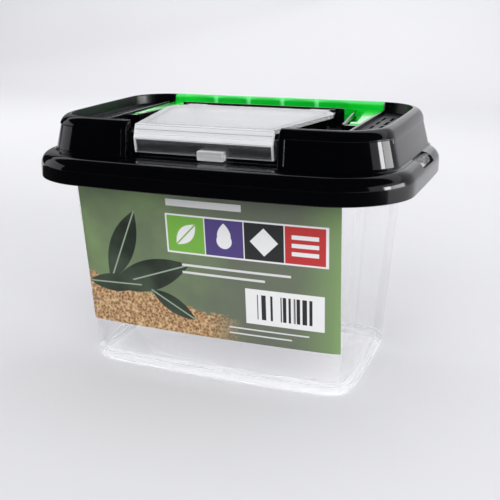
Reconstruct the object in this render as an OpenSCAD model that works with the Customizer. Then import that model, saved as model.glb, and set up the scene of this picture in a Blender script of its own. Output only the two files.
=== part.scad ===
// Pet keeper: a clear tapered tank, a snap-down lid with an air deck, a flip hatch
// and a carrying handle that folds flat into the back of the lid.
// X runs along the case, -Y is the front, Z is up; the origin is the middle of the foot.

/* [Tank] */
// How far the foot of the tank stands in from the brim, all round
foot_inset = 23; // [20:0.5:26]
// Height of the tank rim above the table
tank_h = 103.2; // [85:0.1:130]
// Outward lean of each wall, in millimetres per millimetre of height
draft = 0.0633; // [0.04:0.001:0.075]
// Thickness of the clear walls
tank_wall = 1.8; // [1.4:0.1:2.4]
// Thickness of the tank floor
floor_t = 2.2; // [1.6:0.1:3]
// Height of the foot ring under the floor
foot_h = 2.4; // [1.5:0.1:4]
// Radius of the upright corners
tank_corner = 10; // [6:0.5:16]
// Bow of the long walls
long_bow = 2.4; // [0:0.1:3]
// Bow of the end walls
end_bow = 2.0; // [0:0.1:3]
// Depth of the stepped rim from its top edge to its ledge
rim_depth = 7.2; // [6:0.1:8]

/* [Lid] */
// Length over the lid brim
lid_l = 180; // [176:1:200]
// Width over the lid brim, at mid-side
lid_w = 128; // [126:1:140]
// Corner radius of the brim
lid_corner = 33; // [26:1:36]
// Bow of the long sides of the brim
brim_long_bow = 4.9; // [0:0.1:6]
// Bow of the ends of the brim
brim_end_bow = 0.8; // [0:0.1:2]
// Thickness of the lid shell
lid_wall = 2; // [1.6:0.1:2.4]
// Height of the brim from its lower edge to the shelf
skirt_h = 11.8; // [10:0.1:14]
// Radius of the rounded upper edge of the brim
brim_round = 6; // [4:0.1:6.4]
// Clearance between the tank rim and the inside of the brim
rim_gap = 0.7; // [0.4:0.1:1]
// Height of the rim of the dome above the shelf, midway between front and back
dome_h = 17.5; // [16:0.1:22]
// Depth of the pocket inside the rim of the dome
pocket_depth = 5.2; // [4.5:0.1:6.5]
// Depth of the well that holds the hatch and the handle, below the pocket floor
well_depth = 5; // [4.8:0.1:6]
// Rise of the deck towards the back, in millimetres per millimetre
deck_rise = 0.025; // [0:0.001:0.03]
// Corner radius at the foot of the dome
dome_corner = 20; // [16:1:24]
// Width of the shelf at each end
end_shelf = 6.5; // [6.5:0.1:8]
// Width of the shelf in front of the dome
front_shelf = 13.5; // [12:0.1:15]
// Width of the shelf behind the dome
rear_shelf = 6.5; // [6.5:0.1:8]
// Depth of the sunk panels on the front shoulders
panel_depth = 0.8; // [0.4:0.1:1.2]

/* [Vents] */
// Width of one air slit
slit_w = 1.4; // [1:0.1:1.8]
// Length of one air slit
slit_l = 9; // [6:0.5:10]
// Rows of slits on each side deck
slit_rows = 5; // [3:1:5]
// Slits side by side in a row
slit_cols = 3; // [2:1:3]

/* [Hatch] */
// Distance from the outer face of a handle arm in to the widest part of the hatch
hatch_side = 14.7; // [13.5:0.1:18]
// How far each side of the hatch draws in towards its lip
hatch_taper = 10.5; // [8:0.5:14]
// How far the front edge of the hatch plate lies behind the foot of the dome
lip_set = 5; // [4.5:0.1:6.5]
// Place of the rear edge of the hatch plate, behind the pivots of the handle
hatch_rear = 18.5; // [14:0.5:20]
// Thickness of the hatch
hatch_t = 1.8; // [1.4:0.1:2.2]
// Height of the top of the hatch above the pocket floor
hatch_rise = 4; // [3.4:0.1:4.6]
// Width of the finger tab
tab_w = 12.4; // [8:0.2:20]
// Place of the finger tab along the lip, from the middle
tab_x = 5.2; // [-15:0.2:15]
// Radius of the hinge pins of the hatch
hatch_pin_r = 1; // [0.8:0.05:1.2]

/* [Handle] */
// How far the arms of the handle stand in from the ends of the brim
handle_inset = 31.8; // [31:0.1:34]
// Thickness of the grip at its foot, front to back
grip_t = 7.6; // [7:0.1:10]
// Thickness of the handle arms
arm_t = 3.7; // [3:0.1:4]
// Width of an arm at its pivot
arm_w = 5; // [4.5:0.1:6]
// Width of an arm where it meets the grip
arm_root_w = 11; // [8:0.2:12]
// Radius of the pivot pins of the handle
handle_pin_r = 1.2; // [1:0.05:1.3]
// Distance between the finger ridges of the grip
ridge_pitch = 19; // [16:0.5:20]
// Depth of the finger scallops
scallop_depth = 0.8; // [0.3:0.1:1.2]

/* [Label] */
// Width of the label
label_w = 126; // [100:1:128]
// Height of the lower edge of the label above the table
label_z = 22; // [12:1:40]
// How far the upper edge of the label lies below the tank rim
label_drop = 12.7; // [12:0.1:30]

/* [Clearances] */
// Radial clearance of a pin in its bore
pin_fit = 0.05; // [0.02:0.01:0.1]
// Side clearance between moving parts
side_gap = 0.6; // [0.3:0.05:0.8]
// Gap between the label and the wall that carries it
label_gap = 0.06; // [0.04:0.01:0.2]

/* [Hidden] */
$fn = 48;
eps = 0.01;
big = 300;

// Number of points on a corner, and between corners on a long and on a short side
corner_n = 9;
long_n = 7;
short_n = 3;

// Heights
shelf_z = tank_h + lid_wall;
skirt_z = shelf_z - skirt_h;
crest_z = shelf_z + dome_h;
deck_z = crest_z - pocket_depth;
deck_tilt = atan(deck_rise);
deck_t = 1.8;
ledge_z = tank_h - rim_depth;
ledge_fillet = 3;
floor_z = foot_h + floor_t;

// Foot of the tank, width over the handle, and widths of the hatch and of its lip
foot_l = lid_l - 2 * foot_inset;
foot_w = lid_w - 2 * foot_inset;
handle_w = lid_l - 2 * handle_inset;
hatch_w = handle_w - 2 * hatch_side;
lip_w = hatch_w - 2 * hatch_taper;

// Half sizes of the tank at a height
function tank_a(z) = foot_l / 2 + draft * z;
function tank_b(z) = foot_w / 2 + draft * z;
rim_a = lid_l / 2 - lid_wall - rim_gap;
rim_b = lid_w / 2 - lid_wall - rim_gap;
rim_corner = lid_corner - lid_wall - rim_gap;
rim_edge = 1.2;
brim_inner = rim_edge + 0.6;

// Dome: places of its foot, and how far it leans in by its shoulder and by its crest
dome_a = lid_l / 2 - end_shelf;
dome_front = lid_w / 2 - front_shelf;
dome_rear = lid_w / 2 - rear_shelf;
dome_long_bow = 2.5;
dome_end_bow = 0.8;
crest_h = 6.7;
shoulder_h = dome_h - crest_h;
shoulder_in = [2.5, 1.2, 3.5];
crest_in = [4.5, 4.6, 6.5];
lip_round = 0.8;
pocket_lean = 0.7;

// Front edge of the hatch plate, and front face of the grip, measured from the pivots
hatch_front = dome_front - lip_set;
grip_rear = dome_rear - shoulder_in[2] - 0.9;
reach = grip_rear - grip_t;

// Well of the deck
well_a = handle_w / 2 + side_gap;
well_wall = 1.8;
well_front = hatch_front - 3.3;
rib_h = 2;
rib_t = 1.5;
rib_end = 18;

// Front recess for the lip of the hatch
recess_a = lip_w / 2 + 3;
recess_back = hatch_front - 1.5;
recess_wall = 1.8;
recess_floor = 0.4;
recess_step = 0.2;

// How far a wall reaches into the one that carries it
bite = 0.5;

// Hatch: circles that round its front and rear corners
hatch_corner_r = 13;
lip_corner_r = 2;
hatch_under = hatch_rise - hatch_t;
curb_in = 3;
curb_t = 1.6;
lip_bulge = 1.9;
lip_knee = -2.3;
lip_foot = -8.8;
lip_t = 1.6;
tab_reach = 2.6;
tab_low = -10;
tab_high = -5.8;
hinge_y = hatch_rear + 3;
barrel_r = 1.9;
barrel_l = 9.5;
hinge_d = hatch_rise - 0.2 - barrel_r;
barrel_in = 15.5;
barrel_x = hatch_w / 2 - barrel_in;
ear_t = 2.1;
ear_gap = 0.3;
ear_x = barrel_x + barrel_l + ear_gap;
pin_spare = 0.2;

// Handle: heights are measured from the pocket floor
arm_top = 1.3;
boss_r = 3;
pivot_d = arm_top - boss_r;
grip_top = pocket_depth;
grip_foot = -well_depth;
grip_crest = dome_rear - shoulder_in[2] - crest_in[2] + 0.5;
ridge_n = 4;
ridge_x0 = -34;
scallop_r = ridge_pitch * ridge_pitch / (8 * scallop_depth) + scallop_depth / 2;
pin_reach = 2.6;
ridge_r = 0.9;
ridge_proud = 0.45;
grip_round = 2.4;
arm_bevel = 2.8;
arm_drop = 1.8;
arm_fillet = 9;
pivot_block = 3.6;
pivot_half = 3;

// Snap lugs of the tank rim and the slots of the lid that show them
lug_y = 3.5;
lug_l = 22;
lug_in = 3;
lug_proud = 0.35;
lug_top = 1.5;
slot_gap = 1.1;
slot_drop = 4;

label_t = 0.2;
label_h = tank_h - label_drop - label_z;

// Outline: a bowed rectangle with round corners, counted anticlockwise.
// a, b are the half sizes at mid-side, r the corner radius, ea and eb the bows.
function corner_centre(q, a, b, r) = [(q == 0 || q == 3 ? 1 : -1) * (a - r), (q < 2 ? 1 : -1) * (b - r)];
function corner_point(q, t, a, b, r) = corner_centre(q, a, b, r) + r * [cos(90 * (q + t)), sin(90 * (q + t))];
function side_count(q) = q % 2 == 0 ? long_n : short_n;
function mix(p, q, t) = p + (q - p) * t;
function square_ring(a, b, r) = [
    for (q = [0:3]) each concat(
        [for (i = [0:corner_n - 1]) corner_point(q, i / (corner_n - 1), a, b, r)],
        [for (j = [1:side_count(q)])
            mix(corner_point(q, 1, a, b, r), corner_point((q + 1) % 4, 0, a, b, r), j / (side_count(q) + 1))]
    )
];
function bow(p, a, b, ea, eb) = [p.x * (1 - ea / a * pow(p.y / b, 2)), p.y * (1 - eb / b * pow(p.x / a, 2))];
function ring(a, b, r, ea, eb, z, rise = 0, yc = 0) = [
    for (p = square_ring(a, b, r)) let (w = bow(p, a, b, ea, eb)) [w.x, w.y + yc, z + rise * (w.y + yc)]
];

// Closed solid through a list of rings, capped by its first and last ring
module stack(rings) {
    n = len(rings[0]);
    m = len(rings);
    sides = [for (j = [0:m - 2], i = [0:n - 1]) let (k = (i + 1) % n)
        each [[(j + 1) * n + k, j * n + k, j * n + i], [(j + 1) * n + i, (j + 1) * n + k, j * n + i]]];
    first = [for (i = [0:n - 1]) i];
    last = [for (i = [n - 1:-1:0]) (m - 1) * n + i];
    polyhedron([for (r = rings) each r], concat([first], sides, [last]));
}

// Rings of the tank
function tank_ring(z, out = 0) =
    ring(tank_a(z) + out, tank_b(z) + out, max(tank_corner + out, 2), end_bow, long_bow, z);
function rim_ring(z, out = 0) = ring(rim_a + out, rim_b + out, rim_corner + out, brim_end_bow, brim_long_bow, z);

module on_deck() {
    translate([0, 0, deck_z])
        rotate([deck_tilt, 0, 0])
            children();
}

module both_sides() {
    children();
    mirror([1, 0, 0])
        children();
}

// A box from its lowest to its highest corner
module span(low, high) {
    translate(low)
        cube(high - low);
}

module rod_x(r, x0, x1) {
    translate([x0, 0, 0])
        rotate([0, 90, 0])
            cylinder(r = r, h = x1 - x0);
}

// ---- Tank ----
module tank_shell() {
    under = ledge_z - tank_wall;
    stack([
        tank_ring(foot_h, -tank_wall),
        tank_ring(0, -tank_wall),
        tank_ring(0, -0.5),
        tank_ring(0.8),
        tank_ring(under - ledge_fillet),
        tank_ring(under - ledge_fillet * 0.4, ledge_fillet * 0.2),
        tank_ring(under, ledge_fillet),
        rim_ring(under, -1.2),
        rim_ring(under + 1.2),
        rim_ring(tank_h - rim_edge),
        rim_ring(tank_h, -rim_edge),
        rim_ring(tank_h, -tank_wall),
        rim_ring(ledge_z + 1, -tank_wall),
        rim_ring(ledge_z, -tank_wall - 1),
        tank_ring(ledge_z, ledge_fillet - tank_wall),
        tank_ring(ledge_z - ledge_fillet * 0.7, 0.5 - tank_wall),
        tank_ring(ledge_z - ledge_fillet * 1.5, -tank_wall),
        tank_ring(floor_z + 3, -tank_wall),
        tank_ring(floor_z + 0.9, -tank_wall - 0.9),
        tank_ring(floor_z, -tank_wall - 3)
    ]);
}

module lug() {
    span([rim_a - lug_in, lug_y - lug_l / 2, ledge_z + 1.6], [rim_a + lug_proud, lug_y + lug_l / 2, tank_h + lug_top]);
}

module tank() {
    color([0.86, 0.92, 0.93, 0.35]) {
        tank_shell();
        both_sides()
            lug();
    }
}

// ---- Lid ----
// Ring of the dome: t runs from 0 at the shoulder to 1 at the crest, below 0 down to the shelf
function dome_ring(ends, front, rear, r, z, rise) =
    ring(dome_a - ends, (dome_front + dome_rear - front - rear) / 2, r, dome_end_bow, dome_long_bow, z, rise,
        (dome_rear - rear - dome_front + front) / 2);
function wall_ring(h, in = 0) = let (s = h / shoulder_h)
    dome_ring(shoulder_in[0] * s + in, shoulder_in[1] * s + in, shoulder_in[2] * s + in,
        dome_corner - s - in, shelf_z + h, deck_rise * max(h, 0) / dome_h);
function round_ring(t) = let (c = 1 - cos(90 * t), s = sin(90 * t), h = shoulder_h + (dome_h - shoulder_h) * s)
    dome_ring(shoulder_in[0] + crest_in[0] * c, shoulder_in[1] + crest_in[1] * c, shoulder_in[2] + crest_in[2] * c,
        dome_corner - 1 - 2 * c, shelf_z + h, deck_rise * h / dome_h);
function pocket_ring(in, z) =
    dome_ring(shoulder_in[0] + crest_in[0] + in, shoulder_in[1] + crest_in[1] + in, shoulder_in[2] + crest_in[2] + in,
        dome_corner - 3 - in, z, deck_rise);
function brim_ring(in, z) =
    ring(lid_l / 2 - in, lid_w / 2 - in, lid_corner - in, brim_end_bow, brim_long_bow, z);
function brim_arc(t) = brim_ring(brim_round * (1 - cos(t)), shelf_z - brim_round * (1 - sin(t)));

// The shell is built from the underside of the deck outwards, over the brim and back to the pocket
module lid_shell() {
    stack(concat(
        [pocket_ring(-1.5, deck_z - deck_t)],
        [wall_ring(shoulder_h - 1.2, lid_wall), wall_ring(-lid_wall, lid_wall)],
        [brim_ring(lid_wall + brim_inner, tank_h)],
        [brim_ring(lid_wall + brim_inner * 0.3, tank_h - brim_inner * 0.3)],
        [brim_ring(lid_wall, tank_h - brim_inner), brim_ring(lid_wall, skirt_z)],
        [brim_ring(0, skirt_z)],
        [for (t = [0, 22, 45, 67, 90]) brim_arc(t)],
        [wall_ring(0), wall_ring(shoulder_h / 2)],
        [for (t = [0, 0.25, 0.5, 0.7, 0.85, 1]) round_ring(t)],
        [pocket_ring(0.3, crest_z - lip_round), pocket_ring(pocket_lean + 0.3, deck_z)]
    ));
}

// Hatch outline grown by g: two corner circles a side and the tangent between them
rear_c = [hatch_w / 2 - hatch_corner_r, hatch_rear - hatch_corner_r];
front_c = [lip_w / 2 - lip_corner_r, -hatch_front + lip_corner_r];
hatch_lean = atan2(rear_c.y - front_c.y, rear_c.x - front_c.x)
    - acos((lip_corner_r - hatch_corner_r) / norm(rear_c - front_c));
function arc(c, r, from, to, n) = [for (i = [0:n]) c + r * [cos(from + (to - from) * i / n), sin(from + (to - from) * i / n)]];
function front_corner(g) = let (r = lip_corner_r + g, n = [cos(hatch_lean), sin(hatch_lean)])
    r > 0 ? arc(front_c, r, -90, hatch_lean, 4) : [front_c + r * (n - [0, 1]) / (1 - n.y)];
function hatch_half(g) = concat(
    front_corner(g),
    arc(rear_c, hatch_corner_r + g, hatch_lean, 90, 12)
);
function hatch_outline(g) = let (h = hatch_half(g)) concat(h, [for (i = [len(h) - 1:-1:0]) [-h[i].x, h[i].y]]);

// Inner edge of a handle arm, from its pivot to its root
arm_in = [[handle_w / 2 - arm_w, 0], [handle_w / 2 - arm_root_w, reach]];
arm_slope = (arm_in[0].x - arm_in[1].x) / reach;

module slits() {
    deck_in = well_a + rib_t + 1;
    deck_out = dome_a - shoulder_in[0] - crest_in[0] - pocket_lean - 2;
    pitch_x = (deck_out - deck_in) / slit_cols;
    pitch_y = slit_l + 3;
    for (i = [0:slit_cols - 1], j = [0:slit_rows - 1])
        translate([deck_in + pitch_x * (i + 0.5), pitch_y * (j - (slit_rows - 1) / 2), 0])
            square([slit_w, slit_l], center = true);
}

module guide_rib() {
    rib_gap = 1.6;
    rib_w = 1.2;
    x0 = arm_in[0].x - rib_gap;
    translate([0, 0, -well_depth - bite])
        linear_extrude(height = well_depth + bite + arm_top + 0.6)
            polygon([
                [x0 + 8 * arm_slope - rib_w, -8], [x0 + 8 * arm_slope, -8],
                [x0 - 30 * arm_slope, 30], [x0 - 30 * arm_slope - rib_w, 30]
            ]);
}

module hinge_ear() {
    r = barrel_r + 0.2;
    span([ear_x, hinge_y - r, -well_depth - bite], [ear_x + ear_t, hinge_y + r, hinge_d]);
    translate([0, hinge_y, hinge_d])
        rod_x(r, ear_x, ear_x + ear_t);
}

// Block that the well is sunk into; its rear edge ends inside the wall of the dome
module well_block() {
    out = well_a + well_wall;
    plan = [for (p = wall_ring(shoulder_h * 0.6, lid_wall * 0.7)) [p.x, p.y]];
    on_deck() {
        translate([0, 0, -well_depth - deck_t])
            linear_extrude(height = well_depth + deck_t / 2)
                intersection() {
                    polygon(plan);
                    translate([-out, -well_front - well_wall])
                        square([2 * out, big]);
                }
        both_sides()
            span([well_a + bite, -pivot_half, pivot_d - pivot_half], [well_a + pivot_block, pivot_half, -deck_t / 3]);
    }
}

// Block that the front recess is cut from; its top ends inside the rim of the dome
module recess_block() {
    out = recess_a + recess_wall;
    low = tank_h + lid_wall / 2;
    top = deck_z - deck_rise * hatch_front - deck_t * 0.6;
    front = dome_front - dome_long_bow * pow(out / dome_a, 2) - lid_wall / 2;
    translate([-out, 0, 0])
        rotate([90, 0, 90])
            linear_extrude(height = 2 * out)
                polygon([
                    [-front, low], [-recess_back + recess_wall, low], [-recess_back + recess_wall, top],
                    [-front + shoulder_in[1] + 0.6, top]
                ]);
}

module sunk_panel() {
    difference() {
        span([recess_a + 2.5, -big, shelf_z + 1], [big, -dome_front + 19, shelf_z + shoulder_h + 1.5]);
        stack([for (h = [-1, 0, shoulder_h / 2, shoulder_h, shoulder_h + 3]) wall_ring(h, panel_depth)]);
    }
}

module snap_slot() {
    half = lug_l / 2 + slot_gap;
    span([dome_a + 0.3, lug_y - half, shelf_z - slot_drop], [big, lug_y + half, big]);
}

// Raised curb under the edge of the hatch, and the ribs beside the handle
module deck_ribs() {
    translate([0, 0, -well_depth - bite])
        linear_extrude(height = well_depth + bite + hatch_under)
            polygon(hatch_outline(-curb_in));
    both_sides() {
        span([well_a + 0.1, -well_front + 1, -bite], [well_a + rib_t, dome_rear - rib_end, rib_h]);
        guide_rib();
    }
}

module deck_openings() {
    translate([0, 0, -well_depth - deck_t - 1])
        linear_extrude(height = big)
            polygon(hatch_outline(-curb_in - curb_t));
    both_sides()
        translate([0, 0, -deck_t - 2])
            linear_extrude(height = deck_t + 3)
                slits();
}

module lid_moulding() {
    difference() {
        union() {
            difference() {
                union() {
                    lid_shell();
                    well_block();
                    recess_block();
                }
                on_deck()
                    span([-well_a, -well_front, -well_depth], [well_a, big, big]);
                span([-recess_a, -big, shelf_z + recess_floor], [recess_a, -recess_back, big]);
                on_deck()
                    span([-recess_a, -big, -recess_step], [recess_a, -recess_back + 3, big]);
                both_sides() {
                    sunk_panel();
                    snap_slot();
                }
            }
            on_deck()
                deck_ribs();
        }
        on_deck()
            deck_openings();
    }
}

module lid() {
    color([0.05, 0.06, 0.07])
        difference() {
            union() {
                resize([lid_l, lid_w, 0])
                    lid_moulding();
                on_deck()
                    both_sides()
                        hinge_ear();
            }
            on_deck()
                both_sides() {
                    translate([0, 0, pivot_d])
                        rod_x(handle_pin_r + pin_fit, well_a - 1, well_a + pivot_block + 1);
                    translate([0, hinge_y, hinge_d])
                        rod_x(hatch_pin_r + pin_fit, ear_x - 1, ear_x + ear_t + 1);
                }
        }
}

// ---- Hatch ----
module hatch_lip() {
    top = [-hatch_front, hatch_rise];
    knee = [-hatch_front - lip_bulge, lip_knee];
    foot = [-hatch_front - lip_bulge + 0.9, lip_foot];
    translate([-lip_w / 2, 0, 0])
        rotate([90, 0, 90])
            linear_extrude(height = lip_w)
                polygon([
                    top + [1.4, 0], top + [0.5, -0.15], top + [0, -0.7], knee, foot, foot + [lip_t, 0],
                    knee + [lip_t, 0], [-hatch_front + lip_t, hatch_under], [-hatch_front + 4, hatch_under]
                ]);
}

module hatch_barrel() {
    span([barrel_x, hatch_rear - 3, hatch_under], [barrel_x + barrel_l, hinge_y, hatch_rise - 0.2]);
    translate([0, hinge_y, hinge_d]) {
        rod_x(barrel_r, barrel_x, barrel_x + barrel_l);
        rod_x(hatch_pin_r, barrel_x, barrel_x + barrel_l + ear_gap + ear_t - pin_spare);
    }
}

module hatch() {
    color([0.9, 0.93, 0.95, 0.4])
        on_deck() {
            translate([0, 0, hatch_under])
                linear_extrude(height = hatch_t)
                    polygon(hatch_outline(0));
            hatch_lip();
            span([tab_x - tab_w / 2, -hatch_front - lip_bulge - tab_reach, tab_low],
                [tab_x + tab_w / 2, -hatch_front - lip_bulge + 1.4, tab_high]);
            both_sides()
                hatch_barrel();
        }
}

// ---- Handle ----
module grip() {
    crest = [for (t = [0:15:90]) [
        grip_crest + (grip_rear - grip_crest) * cos(t),
        grip_top - 6.5 * (1 - sin(t))
    ]];
    front = [for (t = [0:22.5:90]) [
        reach + grip_round * (1 - sin(t)),
        grip_top - grip_round * (1 - cos(t))
    ]];
    difference() {
        translate([-handle_w / 2, 0, 0])
            rotate([90, 0, 90])
                linear_extrude(height = handle_w)
                    polygon(concat([[reach, grip_foot], [grip_rear, grip_foot]], crest, front));
        for (i = [0:ridge_n])
            translate([ridge_x0 + ridge_pitch * (i - 0.5), reach + scallop_depth - scallop_r, grip_foot - 1])
                cylinder(r = scallop_r, h = grip_top - grip_foot + 2);
    }
    for (i = [0:ridge_n - 1])
        translate([ridge_x0 + ridge_pitch * i, reach + ridge_r - ridge_proud, grip_foot])
            cylinder(r = ridge_r, h = grip_top - grip_foot - grip_round * 0.4);
}

// Wedge that slopes the inner upper edge of an arm
module arm_wedge() {
    k = arm_drop / arm_bevel;
    translate([arm_in[0].x, 0, arm_top])
        rotate([-90, 0, atan(arm_slope)])
            translate([0, 0, boss_r + 1])
                linear_extrude(height = reach - arm_fillet - boss_r + 2)
                    polygon([[-1, arm_drop + k], [arm_bevel + 1, -k], [-1, -k]]);
}

module arm() {
    outer = handle_w / 2;
    difference() {
        translate([0, 0, arm_top - arm_t])
            linear_extrude(height = arm_t)
                polygon(concat(
                    [[outer, 0], [outer, reach + 2], [arm_in[1].x - arm_fillet, reach + 2]],
                    arc([arm_in[1].x - arm_fillet, reach - arm_fillet], arm_fillet, 90, 0, 6),
                    [arm_in[0]]
                ));
        arm_wedge();
    }
    translate([0, 0, pivot_d]) {
        rod_x(boss_r, arm_in[0].x, outer);
        rod_x(handle_pin_r, outer - 1, outer + pin_reach);
    }
}

module handle() {
    color([0.05, 0.75, 0.25])
        on_deck() {
            grip();
            both_sides()
                arm();
        }
}

// ---- Label ----
function wall_y(x, z, out) = let (
        a = tank_a(z) + out, b = tank_b(z) + out, r = tank_corner + out, past = max(abs(x) - (a - r), 0),
        y = b - r + sqrt(r * r - past * past)
    ) -y * (1 - long_bow / b * pow(x / a, 2));

module label() {
    cols = 24;
    rows = 8;
    low = label_z;
    high = label_z + label_h;
    function x_at(i) = label_w * (i / cols - 0.5);
    loop = concat(
        [for (i = [0:cols]) [x_at(i), label_gap + label_t]],
        [for (i = [cols:-1:0]) [x_at(i), label_gap]]
    );
    color([0.5, 0.6, 0.5])
        stack([for (j = [0:rows]) let (z = low + (high - low) * j / rows)
            [for (p = loop) [p.x, wall_y(p.x, z, p.y), z]]]);
}

tank();
lid();
hatch();
handle();
label();
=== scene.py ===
# %% [markdown]
# A small plastic keeper: a clear tapered tank, a black lid with a domed deck, a clear flip hatch
# in a well of the deck, and a green handle that folds into the back of the lid.
# The frame holds the plain solids and says where each of them sits and turns. The pieces made here
# repeat the same sizes with finer steps, so that soft edges and long curves catch the light as
# polished mouldings do. Lengths are written in millimetres and turned to metres by one factor.

import math
import bpy
import bmesh
from mathutils import Matrix, Vector


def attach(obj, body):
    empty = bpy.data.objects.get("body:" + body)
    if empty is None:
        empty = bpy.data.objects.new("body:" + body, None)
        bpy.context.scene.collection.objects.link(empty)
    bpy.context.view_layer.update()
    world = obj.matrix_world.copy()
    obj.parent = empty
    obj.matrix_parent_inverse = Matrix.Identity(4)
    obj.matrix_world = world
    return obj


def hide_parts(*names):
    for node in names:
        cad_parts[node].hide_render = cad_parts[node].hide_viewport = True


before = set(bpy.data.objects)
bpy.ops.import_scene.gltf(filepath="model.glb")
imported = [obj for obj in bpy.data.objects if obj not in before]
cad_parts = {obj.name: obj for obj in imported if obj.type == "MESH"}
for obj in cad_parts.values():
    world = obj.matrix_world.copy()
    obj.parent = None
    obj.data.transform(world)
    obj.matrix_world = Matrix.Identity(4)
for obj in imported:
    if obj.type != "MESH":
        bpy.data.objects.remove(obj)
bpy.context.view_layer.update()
MM = 0.001

# %% [markdown]
# Node trees hold the finishes and the lofts. Written node by node they are hard to read, so one
# small class wraps an output socket and lets it be added, multiplied and divided like a number.
# Each sum adds its own Math node to the tree.

# %% Sockets that do sums
class Wire:
    def __init__(self, net, socket):
        self.net = net
        self.socket = socket

    def of(self, name):
        return Wire(self.net, self.socket.node.outputs[name])

    def math(self, operation, *others):
        values = dict(enumerate((self,) + others))
        return self.net.add("ShaderNodeMath", {"operation": operation}, values)

    def __add__(self, other):
        return self.math("ADD", other)

    def __sub__(self, other):
        return self.math("SUBTRACT", other)

    def __mul__(self, other):
        return self.math("MULTIPLY", other)

    def __truediv__(self, other):
        return self.math("DIVIDE", other)

    def __rsub__(self, other):
        return self.net.add("ShaderNodeMath", {"operation": "SUBTRACT"}, {0: other, 1: self})

    __radd__ = __add__
    __rmul__ = __mul__

    def step(self, low, high):
        """0 below low, 1 above high, smooth between; low may be above high."""
        settings = {"interpolation_type": "SMOOTHSTEP"}
        values = {"Value": self, "From Min": low, "From Max": high}
        return self.net.add("ShaderNodeMapRange", settings, values)


print("sums on sockets ready")

# %% [markdown]
# Every other node comes from one method that takes its type, its settings and its inputs. The
# settings are set first, because some of them change which inputs a node has. Colours never go
# through a Math node, which would turn them grey, so they have a mix of their own.

# %% Nodes by type
class Net:
    def __init__(self, tree):
        self.tree = tree

    def add(self, kind, settings=None, inputs=None, out=0):
        node = self.tree.nodes.new(kind)
        for name, value in (settings or {}).items():
            if name == "stops":
                self.stops(node, value)
            else:
                setattr(node, name, value)
        for key, value in (inputs or {}).items():
            if isinstance(value, Wire):
                self.tree.links.new(value.socket, node.inputs[key])
            else:
                node.inputs[key].default_value = value
        return Wire(self, node.outputs[out]) if len(node.outputs) else node

    def stops(self, node, values):
        ramp = node.color_ramp.elements
        while len(ramp) < len(values):
            ramp.new(0.5)
        for element, (place, colour) in zip(ramp, values):
            element.position = place
            element.color = colour

    def mix(self, factor, a, b):
        settings = {"data_type": "RGBA"}
        return self.add("ShaderNodeMix", settings, {"Factor": factor, 6: a, 7: b}, out=2)


def rgb(r, g, b):
    """A linear colour with full alpha."""
    return (r, g, b, 1.0)


print("white is", rgb(1, 1, 1))

# %% [markdown]
# The tank and the lid are lofts: the same bowed, round-cornered rectangle, drawn again and again
# at other sizes and heights. That is a rule, so Geometry Nodes make them: the piece's mesh only
# carries a list of outline points and a list of rings, and the tree works out every vertex from
# the two. A lattice or a subdivided box would need its corners pushed about by hand.

# %% Loft tree
def loft_tree():
    tree = bpy.data.node_groups.new("bowed_loft", "GeometryNodeTree")
    face = tree.interface
    face.new_socket("Geometry", in_out="INPUT", socket_type="NodeSocketGeometry")
    for name in ("Outline Points", "Rings"):
        face.new_socket(name, in_out="INPUT", socket_type="NodeSocketInt")
    face.new_socket("Finish", in_out="INPUT", socket_type="NodeSocketMaterial")
    face.new_socket("Geometry", in_out="OUTPUT", socket_type="NodeSocketGeometry")
    net = Net(tree)
    source = net.add("NodeGroupInput")
    points, rings = source.of("Outline Points"), source.of("Rings")
    index = net.add("GeometryNodeInputIndex")
    around = (index / rings).math("FLOOR").math("MODULO", points)
    ring = index.math("MODULO", rings)

    def read(name, at):
        value = net.add("GeometryNodeInputNamedAttribute", {"data_type": "FLOAT_VECTOR"}, {"Name": name})
        sample = net.add("GeometryNodeSampleIndex", {"data_type": "FLOAT_VECTOR"},
                         {"Geometry": source, "Value": value, "Index": at})
        parts = net.add("ShaderNodeSeparateXYZ", None, {0: sample})
        return parts, parts.of("Y"), parts.of("Z")

    centre_x, centre_y, _ = read("spot", around)
    way_x, way_y, _ = read("way", around)
    a, b, r = read("half", ring + points)
    end_bow, long_bow, z = read("bend", ring + points)
    rise, shift, _ = read("lean", ring + points)
    x = centre_x * (a - r) + way_x * r
    y = centre_y * (b - r) + way_y * r
    bowed_x = x * (1 - end_bow / a * (y / b) * (y / b))
    bowed_y = y * (1 - long_bow / b * (x / a) * (x / a)) + shift
    place = net.add("ShaderNodeCombineXYZ", None, {0: bowed_x, 1: bowed_y, 2: z + rise * bowed_y})
    grid = net.add("GeometryNodeMeshGrid", None, {"Vertices X": points + 1, "Vertices Y": rings})
    moved = net.add("GeometryNodeSetPosition", None, {"Geometry": grid, "Position": place})
    closed = net.add("GeometryNodeMergeByDistance", None, {"Geometry": moved, "Distance": 1e-6})
    whole = net.add("GeometryNodeRealizeInstances", None, {0: closed})
    done = net.add("GeometryNodeSetMaterial", None, {"Geometry": whole, "Material": source.of("Finish")})
    net.add("NodeGroupOutput", None, {0: done})
    return tree


LOFT = loft_tree()
print("loft nodes", len(LOFT.nodes))

# %% [markdown]
# A modifier's inputs are set by the sockets' identifiers. The result is turned into a plain mesh
# of the same object, because the other steps work on plain meshes.

# %% Turn modifiers into a mesh
def settle(obj):
    """Replaces the object's mesh by what its modifiers make of it."""
    bpy.context.view_layer.update()
    evaluated = obj.evaluated_get(bpy.context.evaluated_depsgraph_get())
    mesh = bpy.data.meshes.new_from_object(evaluated)
    obj.modifiers.clear()
    obj.data = mesh
    return obj


def set_inputs(modifier, values):
    """Sets a Geometry Nodes modifier's inputs by the names they show."""
    for item in modifier.node_group.interface.items_tree:
        if item.item_type == "SOCKET" and item.in_out == "INPUT" and item.name in values:
            modifier[item.identifier] = values[item.name]


SAME_SPOT = 1e-6


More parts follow.
